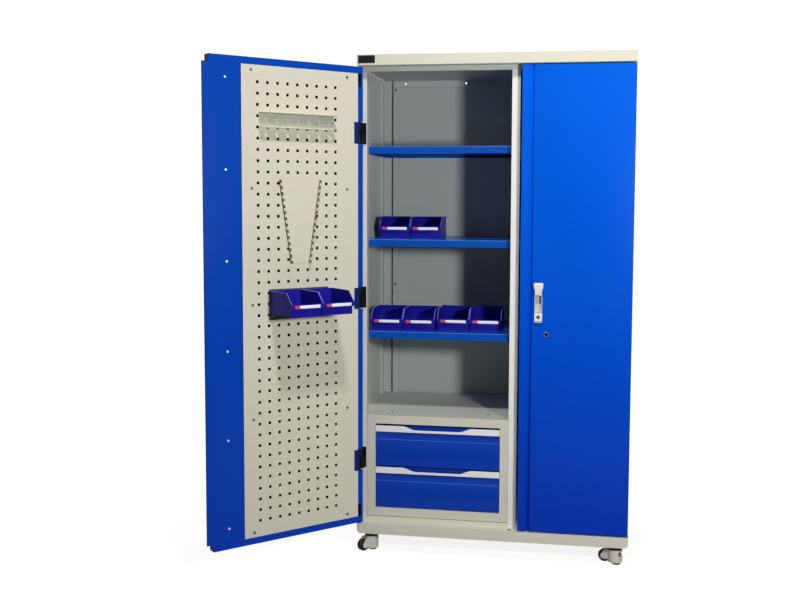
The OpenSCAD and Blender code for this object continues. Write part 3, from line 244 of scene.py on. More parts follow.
cap_ivory = (0.80, 0.78, 0.65)
cap_edge = 0.0012
badge_low = (-0.4940, -0.2762, 1.7410)
badge_high = (-0.4320, -0.2750, 1.7690)
coat_cap = powder_coat("cap_coat", cap_ivory, Drift=0.05, Dust=0.45, Gloss=0.30)
rounded("top_cap", coat_cap, cap_edge)


def grid_mesh(name, points, closed_u=False, closed_v=False):
    """A mesh over a grid of points, rows by columns by three. Row i, column j joins the next row
    and column; a closed direction joins its last points to its first."""
    rows, columns = points.shape[:2]
    i = np.arange(rows if closed_u else rows - 1)[:, None]
    j = np.arange(columns if closed_v else columns - 1)[None, :]
    a = i * columns + j
    b = i * columns + (j + 1) % columns
    c = ((i + 1) % rows) * columns + (j + 1) % columns
    d = ((i + 1) % rows) * columns + j
    faces = np.stack(np.broadcast_arrays(a, b, c, d), axis=-1).reshape(-1, 4)
    mesh = bpy.data.meshes.new(name)
    mesh.from_pydata(points.reshape(-1, 3).tolist(), [], faces.tolist())
    mesh.polygons.foreach_set("use_smooth", np.ones(len(faces), bool))
    return mesh


def placed(name, mesh, finish, body):
    """A finished mesh as a piece that rides on a body; its faces are turned outwards first."""
    shape = bmesh.new()
    shape.from_mesh(mesh)
    bmesh.ops.remove_doubles(shape, verts=shape.verts, dist=1e-7)
    bmesh.ops.recalc_face_normals(shape, faces=shape.faces)
    shape.to_mesh(mesh)
    shape.free()
    mesh.materials.append(finish)
    piece = bpy.data.objects.new(name, mesh)
    bpy.context.scene.collection.objects.link(piece)
    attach(piece, body)
    return piece


gloss_black = powder_coat("badge_black", (0.012, 0.012, 0.014), Drift=0.2, Gloss=0.16, Dust=0.1)
rounded("badge_plate", gloss_black, radius=0.0003)


def border(low, high, width, proud):
    """A rectangular ring on the plane y = low: a rounded bead of the given width that stands
    proud of the plate, swept round the rectangle with mitred corners."""
    across = np.linspace(0.0, math.pi, 7)
    inset = width * (1 - np.cos(across)) / 2
    height = proud * np.sin(across)
    x0, x1, z0, z1 = low[0], high[0], low[2], high[2]
    corners = np.array([[x0, z0, 1, 1], [x1, z0, -1, 1], [x1, z1, -1, -1], [x0, z1, 1, -1]])
    x = corners[:, None, 0] + corners[:, None, 2] * inset[None, :]
    z = corners[:, None, 1] + corners[:, None, 3] * inset[None, :]
    y = np.broadcast_to(low[1] - height[None, :], x.shape)
    return np.stack([x, y, z], axis=-1)


badge_rim = powder_coat("badge_rim", (0.05, 0.05, 0.055), Gloss=0.22)
badge_ring = border(badge_low, badge_high, width=0.0016, proud=0.0004)
placed("badge_border", grid_mesh("badge_border", badge_ring, closed_u=True), badge_rim,
       "cabinet")

# ---------------------------------------------------------------------------
# Walls, posts, roof, back and partition: folded sheet in the light grey that
# the inside shows. The side walls carry the front stiles, which look ivory
# beside the blue doors.

stile_ivory = (0.82, 0.80, 0.69)
inner_grey = (0.53, 0.58, 0.55)
sheet_edge = 0.0005
# Distances from the middle between which the walls' outer faces begin.
wall_skin = (0.4985, 0.4995)
coat_inner = powder_coat("inner_coat", inner_grey, Drift=0.10, Gloss=0.36)
coat_header = powder_coat("header_coat", (0.60, 0.62, 0.58), Drift=0.06)


def position(tree):
    """The place of a point of the surface, as its X, Y and Z."""
    split = tree.nodes.new("ShaderNodeSeparateXYZ")
    tree.links.new(tree.nodes.new("ShaderNodeTexCoord").outputs["Object"], split.inputs[0])
    return split.outputs


def recolour(made, colour):
    """Feeds a colour that changes over the surface to the material's shared effect."""
    group = next(n for n in made.node_tree.nodes if n.type == "GROUP")
    made.node_tree.links.new(colour, group.inputs["Colour"])


def two_tone(name, front, inside, plane_y):
    """Powder coat that is the front colour up to a plane across the depth and on the outer faces
    of the walls, and the inside colour elsewhere, because the photographed inside is the greyer."""
    made = powder_coat(name, front)
    tree = made.node_tree
    spot = position(tree)
    behind = span(tree, spot["Y"], plane_y, plane_y + 0.002)
    within = span(tree, maths(tree, "ABSOLUTE", spot["X"], 0.0), *wall_skin, 1.0, 0.0)
    recolour(made, mixed(tree, maths(tree, "MULTIPLY", behind, within), front, inside))
    return made


coat_wall = two_tone("wall_coat", stile_ivory, inner_grey, -0.233)
for wall in ("left_side_panel", "right_side_panel"):
    rounded(wall, coat_wall, sheet_edge)
coat_post = powder_coat("post_coat", (0.92, 0.92, 0.87), Drift=0.05)
rounded("centre_post", coat_post, sheet_edge)
rounded("roof_panel", coat_header, sheet_edge)
rounded("back_panel", coat_inner, sheet_edge)
dressed("partition_panel", coat_inner)

# ---------------------------------------------------------------------------
# Shelf standards and clips: slotted channels pressed from the same grey sheet,
# with zinc-plated clips hooked in their slots.


def metal_group():
    """Bare metal: fine lines along one direction, a mottled tone and a broken gloss."""
    group, source, sink = effect(
        "bare_metal",
        [("Colour", "NodeSocketColor", (0.6, 0.6, 0.6, 1)), ("Gloss", "NodeSocketFloat", 0.30),
         ("Spangle", "NodeSocketFloat", 0.10), ("Lines", "NodeSocketFloat", 0.10)],
        [("Colour", "NodeSocketColor"), ("Roughness", "NodeSocketFloat"), ("Normal", "NodeSocketVector")],
    )
    spot = group.nodes.new("ShaderNodeTexCoord").outputs["Object"]
    crystals = group.nodes.new("ShaderNodeTexVoronoi")
    crystals.inputs["Scale"].default_value = 190.0
    group.links.new(spot, crystals.inputs["Vector"])
    tone = group.nodes.new("ShaderNodeSeparateColor")
    group.links.new(crystals.outputs["Color"], tone.inputs[0])
    amount = maths(group, "MULTIPLY", tone.outputs[0], source.outputs["Spangle"])
    shade = mixed(group, 0.45, source.outputs["Colour"], (0.02, 0.02, 0.02))
    group.links.new(mixed(group, amount, source.outputs["Colour"], shade), sink.inputs["Colour"])
    lines = noise(group, spot, 260.0, 2.0, 0.6, (1.0, 1.0, 0.06))
    rough = maths(group, "ADD", maths(group, "MULTIPLY", lines, 0.14), source.outputs["Gloss"])
    rough = maths(group, "ADD", rough, maths(group, "MULTIPLY", amount, 0.5))
    group.links.new(rough, sink.inputs["Roughness"])
    group.links.new(bumped(group, source.outputs["Lines"], lines, 0.00015), sink.inputs["Normal"])
    return group


bare_metal = metal_group()
zinc = material("zinc_plate", bare_metal, {"Colour": (0.58, 0.60, 0.62), "Gloss": 0.24}, Metallic=1.0)
dressed("shelf_standards", coat_inner)
dressed("shelf_clips", zinc)

# ---------------------------------------------------------------------------
# Shelves: blue trays folded down all round, with a painted highlight along
# the upper bend of their front edges.

shelf_blue = (0.002, 0.085, 0.48)
shelf_highlight_blue = (0.10, 0.24, 0.80)
lip_edge = 0.0011
# The painted highlight strip starts and is full this far under a bend, and ends this far over it.
highlight_from, highlight_full, highlight_over = 0.0024, 0.0018, 0.0004
coat_shelf = powder_coat("shelf_coat", shelf_blue, Gloss=0.17, Dust=0.03)


def painted_bend_highlights(made, colour, bright, heights):
    """Paints a highlight on the last 2 mm of a front face under each of the heights: painted light
    that stands for the bend catching the lamps."""
    tree = made.node_tree
    height_here = position(tree)["Z"]
    highlight_strips = 0.0
    for height in heights:
        begins = span(tree, height_here, height - highlight_from, height - highlight_full)
        ends = span(tree, height_here, height, height + highlight_over, 1.0, 0.0)
        highlight_strips = maths(tree, "MAXIMUM", highlight_strips, maths(tree, "MULTIPLY", begins, ends))
    front = span(tree, outlook(tree)["Y"], -0.25, -0.45)
    recolour(made, mixed(tree, maths(tree, "MULTIPLY", highlight_strips, front), colour, bright))


left_trays = ("upper_shelf", "middle_shelf", "lower_shelf")
# A painted highlight along the top bend of each left shelf's front.
painted_bend_highlights(coat_shelf, shelf_blue, shelf_highlight_blue, [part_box(tray)[1][2] for tray in left_trays])
for tray in (*left_trays, "right_shelves"):
    rounded(tray, coat_shelf, lip_edge, 3)

# ---------------------------------------------------------------------------
# Drawer unit: an ivory case round two blue drawers. Each face slopes back
# under a metal grip with a finger scoop, and the tubs run on zinc runners.

drawer_blue = (0.0005, 0.046, 0.46)
drawer_highlight_blue = (0.03, 0.16, 0.72)
case_ivory = (0.72, 0.71, 0.61)
case_inside = (0.72, 0.74, 0.68)
# The case has its inside colour behind this depth; a face bends this high over its foot.
case_turns = -0.195
face_bend = 0.102
coat_case = two_tone("case_coat", case_ivory, case_inside, case_turns)
coat_drawer = powder_coat("drawer_coat", drawer_blue, Gloss=0.18, Dust=0.0)
# A painted highlight along the bend at the foot of each drawer face's slope.
painted_bend_highlights(coat_drawer, drawer_blue, drawer_highlight_blue,
          [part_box(level + "_drawer_front")[0][2] + face_bend for level in ("upper", "lower")])
grip_values = {"Colour": (0.96, 0.96, 0.98), "Gloss": 0.42, "Spangle": 0.02, "Lines": 0.05}
grip_metal = material("grip_metal", bare_metal, grip_values, Metallic=0.05)
rounded("drawer_housing", coat_case, sheet_edge)
dressed("drawer_runners", zinc)
for level in ("upper", "lower"):
    rounded(level + "_drawer_front", coat_drawer, lip_edge, 3)
    rounded(level + "_drawer_tub", coat_drawer, radius=0.0004)
    rounded(level + "_drawer_handle", grip_metal, radius=0.0006)

# ---------------------------------------------------------------------------
# Fasteners of the carcass: pan-head screws and the castors' bolts, their
# plating gone dull and dark.

dull_values = {"Colour": (0.05, 0.05, 0.05), "Gloss": 0.35}
dull_screw = material("dull_screw", bare_metal, dull_values, Metallic=0.5)
dressed("carcass_fasteners", dull_screw)


def plug_points(x, y, z):
    """A black rubber plug in the hole of the base's front ledge: a profile of radius and height,
    a flange with a rolled edge that rises to a low dome, turned about an upright axis."""
    radius = np.array([0.0, 0.0025, 0.0042, 0.0050, 0.0058, 0.0062, 0.0062, 0.0060, 0.0])[:, None]
    height = np.array([0.0016, 0.00155, 0.0013, 0.0009, 0.0007, 0.0004, 0.0001, 0.0, 0.0])[:, None]
    turn = np.linspace(0, 2 * math.pi, 28, endpoint=False)[None, :]
    return np.stack([x + radius * np.cos(turn), y + radius * np.sin(turn), z + height + 0 * turn], axis=-1)


rubber = powder_coat("plug_rubber", (0.010, 0.010, 0.010), Gloss=0.5, Dust=0.1)
plug_form = plug_points(x=0.070, y=-0.2556, z=0.0391)
placed("ledge_plug", grid_mesh("ledge_plug", plug_form, closed_v=True), rubber, "cabinet")

# ---------------------------------------------------------------------------
# Hinges: pressed and painted satin black, with their pins through two
# knuckles, three to a door.

hinge_x, hinge_y = 0.494, -0.260
# Distances from the hinge axis: black up to the first, the leaf's own shade from the second.
masked_to, blue_from = 0.0258, 0.0262
hinge_shade = (0.004, 0.005, 0.012)
leaf_shade = (0.002, 0.018, 0.16)
satin_black = powder_coat("hinge_black", hinge_shade, Gloss=0.34, Peel=0.3, Dust=0.05)
leaf_blue = powder_coat("leaf_blue_black", leaf_shade, Gloss=0.30, Peel=0.3, Dust=0.05)


def black_knuckles(made, blue, black):
    """Leaves black what lies within 26 mm of either hinge axis, where the leaf is masked when its
    far end takes the door's colour: the squares of the two distances from the axis are summed."""
    tree = made.node_tree
    spot = position(tree)
    aside = maths(tree, "SUBTRACT", maths(tree, "ABSOLUTE", spot["X"], 0.0), hinge_x)
    along = maths(tree, "SUBTRACT", spot["Y"], hinge_y)
    squares = [maths(tree, "MULTIPLY", reach, reach) for reach in (aside, along)]
    away = maths(tree, "ADD", *squares)
    recolour(made, mixed(tree, span(tree, away, masked_to ** 2, blue_from ** 2), black, blue))


black_knuckles(leaf_blue, leaf_shade, hinge_shade)
rounded("frame_hinge_halves", satin_black, radius=0.0004)
for half in ("left_hinge_leaves", "right_hinge_leaves"):
    rounded(half, leaf_blue, radius=0.0004)

# ---------------------------------------------------------------------------
# Left door: a glossy blue skin with folded borders, a plain strip along its
# free edge, and the ivory panel with its square holes screwed to the borders.
# Its blue changes from top to foot as painted light, and the skin behind the
# panel is painted dark as the shade seen through the holes.

panel_ivory = (0.78, 0.75, 0.62)
# Painted shade on the back of the skin, seen dark through the panel's holes.
hole_shade_black = (0.0004, 0.001, 0.004)
# Door colours at the top and at the foot, and the heights between which they turn: painted light.
left_painted_falloff = ((0.0003, 0.066, 0.50), (0.0003, 0.055, 0.54))
falloff_low, falloff_high = 0.10, 1.65
hole_shade_from, hole_shade_full = 0.0105, 0.0110
strip_starts = (-0.832, -0.828)
door_turn = math.radians(-136)
inward = (-math.sin(door_turn), math.cos(door_turn), 0.0)


def door_coat(name, top, foot, inside=None):
    """Door coat with painted light: it turns from one colour at the top to another at the foot, as the
    light falls off down the door. Where inside is given, the side of the skin that the panel covers
    has that colour, a painted shade that makes the holes of the panel look dark: what faces inward
    and lies 11 mm or more outside the hinge axis, measured against inward."""
    made = powder_coat(name, top, Drift=0.04, Gloss=0.22, Peel=0.05, Dust=0.05)
    made.node_tree.nodes["Principled BSDF"].inputs["Specular IOR Level"].default_value = 0.14
    tree = made.node_tree
    shade = mixed(tree, span(tree, position(tree)["Z"], falloff_low, falloff_high), foot, top)
    if inside:
        where = tree.nodes.new("ShaderNodeTexCoord")
        deep, turned = tree.nodes.new("ShaderNodeVectorMath"), tree.nodes.new("ShaderNodeVectorMath")
        for node, source in ((deep, "Object"), (turned, "Normal")):
            node.operation = "DOT_PRODUCT"
            tree.links.new(where.outputs[source], node.inputs[0])
            node.inputs[1].default_value = inward
        axis = -hinge_x * inward[0] + hinge_y * inward[1]
        hole_shade_mask = maths(tree, "MULTIPLY", span(tree, turned.outputs["Value"], 0.5, 0.6),
                        span(tree, deep.outputs["Value"], axis - hole_shade_full, axis - hole_shade_from, 1.0, 0.0))
        shade = mixed(tree, hole_shade_mask, shade, inside)
    recolour(made, shade)
    return made


left_coat = door_coat("left_door_coat", *left_painted_falloff)
left_skin_coat = door_coat("left_skin_coat", *left_painted_falloff, hole_shade_black)
coat_panel = powder_coat("panel_coat", panel_ivory, Drift=0.07, Gloss=0.34, Dust=0.1)
rounded("left_door_skin", left_skin_coat, radius=0.0006)
rounded("left_door_stiffener", left_coat, sheet_edge)
dressed("pegboard", coat_panel)


def fastener_finish():
    """Dark grey screws on the panel, partly their own colour and partly painted shade; bright aluminium
    rivets on the plain strip at the free edge.
    """
    made = material("door_fastener", bare_metal, {"Gloss": 0.34}, Metallic=0.25)
    tree = made.node_tree
    on_strip = span(tree, position(tree)["X"], *strip_starts, 1.0, 0.0)
    recolour(made, mixed(tree, on_strip, (0.16, 0.16, 0.15), (0.95, 0.95, 0.94)))
    return made


dressed("left_door_fasteners", fastener_finish())

# ---------------------------------------------------------------------------
# Racks on the perforated panel: a slotted trough of galvanised sheet with a
# painted highlight on its lip and painted light low on its back, a notched
# wrench rack in the panel's own colour with painted shade on its standing
# sides, and the olive rail the bins hang on.

trough_grey = (0.50, 0.53, 0.42)
trough_highlight = (0.90, 0.93, 0.78)
notch_painted_shade = (0.22, 0.21, 0.17)
lip_highlight_height = 0.0013
rack_edge = 0.0003
galvanised = material("galvanised_sheet", bare_metal, {"Gloss": 0.40, "Spangle": 0.25}, Metallic=0.4)
olive = powder_coat("rail_olive", (0.085, 0.088, 0.070), Gloss=0.40)


def painted_shade_on_sides(made, flat, sides):
    """Paints shade on what stands out from the panel, seen by its normal: it gets the second colour."""
    tree = made.node_tree
    turned = tree.nodes.new("ShaderNodeVectorMath")
    turned.operation = "DOT_PRODUCT"
    tree.links.new(tree.nodes.new("ShaderNodeTexCoord").outputs["Normal"], turned.inputs[0])
    turned.inputs[1].default_value = inward
    side_shade_mask = span(tree, maths(tree, "ABSOLUTE", turned.outputs["Value"], 0.0), 0.6, 0.8)
    recolour(made, mixed(tree, side_shade_mask, sides, flat))


def painted_lip_light(made, plain, bright, low, high):
    """Paints a highlight on the folded edge up to a height, where the sheet's cut edge catches the
    light, and painted light on the 24 mm over low that fades upwards, less and less."""
    tree = made.node_tree
    height = position(tree)["Z"]
    lip = span(tree, height, high, high + 0.0003, 1.0, 0.0)
    painted_fade = span(tree, height, low, low + 0.024, 0.35, 0.0)
    recolour(made, mixed(tree, maths(tree, "MAXIMUM", lip, painted_fade), plain, bright))


rack_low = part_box("tool_rack")[0][2]
# Painted highlight on the trough's lower lip and painted light fading up its back.
painted_lip_light(galvanised, trough_grey, trough_highlight, rack_low, rack_low + lip_highlight_height)
rounded("tool_rack", galvanised, rack_edge)
coat_notched = powder_coat("notched_coat", panel_ivory, Drift=0.05)
# Painted shade on the wrench rack's standing sides.
painted_shade_on_sides(coat_notched, panel_ivory, notch_painted_shade)
rounded("wrench_rack", coat_notched, rack_edge)
rounded("bin_rail", olive, radius=0.0004)

# ---------------------------------------------------------------------------
# Storage bins: violet-blue moulded boxes, open at the top and over a low
# front. Each has a bead along its rim, painted paler as a highlight, and a
# white label with a red end behind the front lip.

bin_w, bin_d, bin_h = 0.122, 0.160, 0.080
bin_lip_high, bin_slope_y = 0.043, 0.122
bead = 0.0016
label_low, label_high, label_proud = 0.0300, 0.0408, 0.0004
white_part, red_part = (0.012, 0.091), (0.0915, 0.109)
rail_x, rail_y, rail_z = -0.3625, -0.2319, 0.8523


def plastic_group():
    """Moulded plastic: a faint spark-eroded grain, slow flow marks and a cloudy gloss."""
    group, source, sink = effect(
        "moulded_plastic",
        [("Colour", "NodeSocketColor", (0.1, 0.1, 0.5, 1)), ("Flow", "NodeSocketFloat", 0.15),
         ("Gloss", "NodeSocketFloat", 0.30), ("Grain", "NodeSocketFloat", 0.15)],
        [("Colour", "NodeSocketColor"), ("Roughness", "NodeSocketFloat"), ("Normal", "NodeSocketVector")],
    )
    spot = group.nodes.new("ShaderNodeTexCoord").outputs["Object"]
    flow = span(group, noise(group, spot, 14.0, 3.0, 0.5, (1.0, 1.0, 0.5)), 0.35, 0.70)
    shade = mixed(group, 0.5, source.outputs["Colour"], (0.0, 0.0, 0.02))
    amount = maths(group, "MULTIPLY", flow, source.outputs["Flow"])
    group.links.new(mixed(group, amount, source.outputs["Colour"], shade), sink.inputs["Colour"])
    grain = noise(group, spot, 900.0, 2.0)
    rough = maths(group, "ADD", maths(group, "MULTIPLY", flow, 0.10), source.outputs["Gloss"])
    group.links.new(rough, sink.inputs["Roughness"])
    group.links.new(bumped(group, source.outputs["Grain"], grain, 0.0001), sink.inputs["Normal"])
    return group


moulded = plastic_group()
bin_values = {"Colour": (0.016, 0.014, 0.36), "Flow": 0.10}
bin_violet = material("bin_violet", moulded, bin_values, Specular_IOR_Level=0.08)
# The beads' paler colour is a painted highlight.
highlight_bead_violet = material("bin_bead", moulded, {"Colour": (0.20, 0.20, 0.92), "Gloss": 0.22})
card_white = material("label_card", moulded, {"Colour": (0.99, 0.99, 0.99), "Gloss": 0.40, "Flow": 0.0})
card_red = material("label_red", moulded, {"Colour": (0.72, 0.05, 0.10), "Gloss": 0.45, "Flow": 0.05})


def shut_to_open(points):
    """Points of the shut left door turned about its hinge to where the door stands."""
    x, y = points[..., 0] + hinge_x, points[..., 1] - hinge_y
    c, s = math.cos(door_turn), math.sin(door_turn)
    return np.stack([c * x - s * y - hinge_x, hinge_y + s * x + c * y, points[..., 2]], axis=-1)


def on_shelf(left, front, shelf):
    """Places a bin's own points (x across, y to its front, z up) on a shelf, its front to -Y."""
    def place_it(points):
        x = left + bin_w - points[..., 0]
        y = front + bin_d - points[..., 1]
        return np.stack([x, y, points[..., 2] + shelf], axis=-1)
    return place_it


def on_door(left):
    """Places a bin's own points on the rail of the door, its front away from the panel."""
    def place_it(points):
        x = left + points[..., 0]
        y = rail_y + points[..., 1]
        return shut_to_open(np.stack([x, y, points[..., 2] + rail_z], axis=-1))
    return place_it


def tube_along(path, radius, sides=8):
    """A round bead along a path of points: at each point a circle stands across the mean of the
    directions to its neighbours; the ends close to points."""
    path = np.asarray(path, float)
    step = np.gradient(path, axis=0)
    step /= np.linalg.norm(step, axis=1)[:, None]
    helper = np.where(np.abs(step[:, :1]) < 0.9, [[1.0, 0.0, 0.0]], [[0.0, 0.0, 1.0]])
    side = np.cross(step, helper)
    side /= np.linalg.norm(side, axis=1)[:, None]
    up = np.cross(step, side)
    turn = np.linspace(0, 2 * math.pi, sides, endpoint=False)
    ring = side[:, None, :] * np.cos(turn)[None, :, None] + up[:, None, :] * np.sin(turn)[None, :, None]
    body = path[:, None, :] + radius * ring
    ends = [np.repeat(path[[k]], sides, axis=0)[None] for k in (0, -1)]
    return np.concatenate([ends[0], body, ends[1]])


def joined(name, grids, **how):
    """One mesh out of several grids of points."""
    shape = bmesh.new()
    for number, points in enumerate(grids):
        part = grid_mesh(name + str(number), points, **how)
        shape.from_mesh(part)
        bpy.data.meshes.remove(part)
    mesh = bpy.data.meshes.new(name)
    shape.to_mesh(mesh)
    shape.free()
    return mesh


def bin_beads(spot):
    """Beads of one bin: along both side rims down the slope to the lip, and along the lip."""
    lips = []
    for x in (bead, bin_w - bead):
        corner = np.array([[x, 0.002, bin_h], [x, bin_slope_y, bin_h], [x, bin_d - 0.001, bin_lip_high]])
        t = np.linspace(0, 2, 25)
        rim = np.stack([np.interp(t, [0, 1, 2], corner[:, k]) for k in range(3)], axis=-1)
        lips.append(spot(tube_along(rim - [0, 0, bead * 0.6], bead)))
    across = np.linspace(bead, bin_w - bead, 9)
    lip = np.stack([across, np.full(9, bin_d - bead), np.full(9, bin_lip_high - bead * 0.6)], axis=-1)
    lips.append(spot(tube_along(lip, bead)))
    return lips


def card(spot, x0, x1):
    """A thin card on a bin's front lip from x0 to x1: half its width times u and half its height
    times v, its corners drawn in and its face bulged by high powers of u and v."""
    u = np.linspace(-1, 1, 13)[:, None]
    v = np.linspace(-1, 1, 5)[None, :]
    x = (x0 + x1) / 2 + (x1 - x0) / 2 * u + 0 * v
    z = (label_low + label_high) / 2 + (label_high - label_low) / 2 * v * (1 - 0.06 * u ** 12)
    y = bin_d + label_proud * (1 - 0.5 * u ** 8) * (1 - 0.5 * v ** 8) + 0.00005
    front = np.stack([x, y, z], axis=-1)
    back = front.copy()
    back[..., 1] = bin_d - 0.0002
    ring = np.concatenate([back[:1], front, back[-1:]])
    ring = np.concatenate([np.concatenate([back[:1, :1], back[:, :1], back[-1:, :1]]), ring,
                           np.concatenate([back[:1, -1:], back[:, -1:], back[-1:, -1:]])], axis=1)
    return spot(ring)


bin_places = {}
for node in ("middle_shelf_bins", "lower_left_bins", "lower_right_bins"):
    low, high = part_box(node)
    bin_places[node] = [on_shelf(low[0] + k * bin_w, low[1], low[2]) for k in (0, 1)]
bin_places["door_bins"] = [on_door(rail_x), on_door(rail_x + bin_w)]
for node, spots in bin_places.items():
    rounded(node, bin_violet, radius=0.0005)
    body = body_of_node[node]
    beads = joined(node + "_beads", [run for spot in spots for run in bin_beads(spot)], closed_v=True)
    whites = joined(node + "_labels", [card(spot, *white_part) for spot in spots])
    reds = joined(node + "_label_ends", [card(spot, *red_part) for spot in spots])
    placed(node + "_beads", beads, highlight_bead_violet, body)
    placed(node + "_labels", whites, card_white, body)
    placed(node + "_label_ends", reds, card_red, body)

# ---------------------------------------------------------------------------
# Right door: the same glossy blue with painted light from top to foot, a
# groove beside its free edge, and the plain inner panel that closes it.

# Colours at the top and at the foot: painted light that falls off down the door.
right_painted_falloff = ((0.0003, 0.131, 0.84), (0.0003, 0.042, 0.52))
right_coat = door_coat("right_door_coat", *right_painted_falloff)
rounded("right_door_skin", right_coat, radius=0.0006)
rounded("right_door_liner", right_coat, radius=0.0004)

# ---------------------------------------------------------------------------
# Handle and locks: a pale moulded housing with a finger dish, a white lever
# that is pulled out by its lower edge, a key core, the cam lock and the rods.

handle_x, handle_z = 0.16725, 0.812
door_face_y = -0.275
block_low, block_high = handle_z + 0.006, handle_z + 0.034


def housing_finish():
    """Light grey, with the lock's block at the foot of the housing white like the lever."""
    made = material("housing_plastic", moulded, {"Gloss": 0.30, "Flow": 0.05})
    tree = made.node_tree
    height = position(tree)["Z"]
    over_block = span(tree, height, block_high - 0.0002, block_high + 0.0002)
    under_block = span(tree, height, block_low - 0.0002, block_low + 0.0002, 1.0, 0.0)
    grey = maths(tree, "MAXIMUM", over_block, under_block)
    recolour(made, mixed(tree, grey, (0.86, 0.87, 0.86), (0.52, 0.53, 0.50)))
    return made


chrome_values = {"Colour": (0.70, 0.71, 0.73), "Gloss": 0.10, "Spangle": 0.02}
dark_values = {"Colour": (0.03, 0.03, 0.03), "Gloss": 0.15}
steel_values = {"Colour": (0.16, 0.18, 0.17), "Gloss": 0.28}
lever_white = material("lever_white", moulded, {"Colour": (0.84, 0.84, 0.82), "Gloss": 0.22})
lock_chrome = material("lock_chrome", bare_metal, chrome_values, Metallic=1.0)
lock_dark = material("lock_dark", bare_metal, dark_values, Metallic=0.5)
core_steel = material("core_steel", bare_metal, steel_values, Metallic=0.9)


def lever_shell():
    """The lever as a loft up its height: at each level of the table below a rounded box, a
    superellipse of its half width and of its depth from back to front, closed at either end."""
    levels, half, front = np.array([
        [0.0980, 0.0100, 0.0118], [0.0985, 0.0122, 0.0126], [0.1000, 0.0130, 0.0132],
        [0.1060, 0.0130, 0.0140], [0.1140, 0.0132, 0.0150], [0.1190, 0.0149, 0.0157],
        [0.1260, 0.0164, 0.0162], [0.1330, 0.0174, 0.0164], [0.1390, 0.0174, 0.0161],
        [0.1420, 0.0166, 0.0152], [0.1430, 0.0140, 0.0130]]).T
    back = 0.0044
    turn = np.linspace(0, 2 * math.pi, 48, endpoint=False)[None, :]
    square = 5.0
    c, s = np.cos(turn), np.sin(turn)
    reach = (np.abs(c) ** square + np.abs(s) ** square) ** (-1 / square)
    x = handle_x + half[:, None] * c * reach
    middle, deep = (front + back) / 2, (front - back) / 2
    y = door_face_y - (middle[:, None] + deep[:, None] * s * reach)
    z = np.broadcast_to((handle_z + levels)[:, None], x.shape)
    rings = np.stack([x, y, z], axis=-1)
    caps = [np.broadcast_to(rings[[k]].mean(axis=1, keepdims=True), rings[[k]].shape) for k in (0, -1)]
    return np.concatenate([caps[0], rings, caps[1]])


rounded("handle_housing", housing_finish(), radius=0.0008, segments=3)
lever = placed("lever_shell", grid_mesh("lever_shell", lever_shell(), closed_v=True), lever_white,
               "lever")
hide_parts("handle_lever")
rounded("handle_key_core", core_steel, radius=0.0004)
rounded("cam_lock_barrel", lock_chrome, radius=0.0006)
rounded("cam_lock_core", lock_dark, radius=0.0003)
for rod in ("upper_lock_rod", "lower_lock_rod"):
    dressed(rod, zinc)

# ---------------------------------------------------------------------------
# Castors: a black plate and cup, an ivory cast yoke with a window over the red
# dial, a moulded wheel, and a levelling foot on its screw.

pad_rubber = (0.015, 0.015, 0.015)
screw_steel = (0.35, 0.36, 0.37)
dial_red = (0.75, 0.02, 0.02)
# Heights between which the foot's colour turns: over the pad, under and over the dial.
pad_top = (-0.0732, -0.0728)
dial_foot = (-0.0422, -0.0420)
dial_top = (-0.0310, -0.0308)
wheel_values = {"Colour": (0.012, 0.012, 0.012), "Gloss": 0.42, "Grain": 0.4}
castor_ivory = powder_coat("castor_coat", (0.86, 0.84, 0.74), Drift=0.10, Gloss=0.34, Peel=0.4)
wheel_black = material("wheel_black", moulded, wheel_values)
cup_black = powder_coat("cup_black", (0.012, 0.012, 0.013), Gloss=0.30)
rounded("castor_mounts", cup_black, radius=0.0006)


def foot_finish():
    """One finish up the foot's height: rubber on the pad, steel on the screw, red on the dial."""
    made = material("foot_finish", moulded, {"Gloss": 0.35})
    tree = made.node_tree
    height = position(tree)["Z"]
    colour = pad_rubber
    for turns_at, next_colour in ((pad_top, screw_steel), (dial_foot, dial_red), (dial_top, screw_steel)):
        colour = mixed(tree, span(tree, height, *turns_at), colour, next_colour)
    recolour(made, colour)
    return made


red_foot = foot_finish()
for corner in ("front_left", "front_right", "rear_left", "rear_right"):
    rounded(f"castor_{corner}_yoke", castor_ivory, radius=0.0008)
    rounded(f"castor_{corner}_wheel", wheel_black, radius=0.0005)
    rounded(f"castor_{corner}_foot", red_foot, radius=0.0005)

# ---------------------------------------------------------------------------
# Studio: a pale floor that curves up behind, a key light from the right at
# chest height, one high in front, one behind for the back, and a white room.

floor_z = -0.0782


def sweep_floor():
    """Floor and backdrop in one sheet: flat to 5 m behind, a quarter circle of 2 m, then upright."""
    bend = np.linspace(0, math.pi / 2, 13)
    y = np.concatenate([[-9.0, 0.0], 5.0 + 2.0 * np.sin(bend), [7.0]])
    z = np.concatenate([[0.0, 0.0], 2.0 - 2.0 * np.cos(bend), [8.0]]) + floor_z
    x = np.linspace(-11.0, 11.0, 3)
    return np.stack(np.broadcast_arrays(x[None, :], y[:, None], z[:, None]), axis=-1)


def seen_white(tree, near, far, unseen, mirror):
    """Strength of a white glow that only camera rays see in full: near beside the cabinet, far at
    2.4 m from it and beyond. Reflections see mirror, all other rays see unseen."""
    path = tree.nodes.new("ShaderNodeLightPath")
    away = tree.nodes.new("ShaderNodeVectorMath")
    away.operation = "LENGTH"
    tree.links.new(tree.nodes.new("ShaderNodeTexCoord").outputs["Object"], away.inputs[0])
    glow = span(tree, away.outputs["Value"], 0.8, 2.4, near, far)
    mirrored = maths(tree, "MAXIMUM", path.outputs["Is Glossy Ray"], path.outputs["Is Transmission Ray"])
    mirrored = maths(tree, "MULTIPLY", mirrored, mirror)
    watched = maths(tree, "MAXIMUM", path.outputs["Is Camera Ray"], mirrored)
    return maths(tree, "MAXIMUM", maths(tree, "MULTIPLY", glow, watched), unseen)


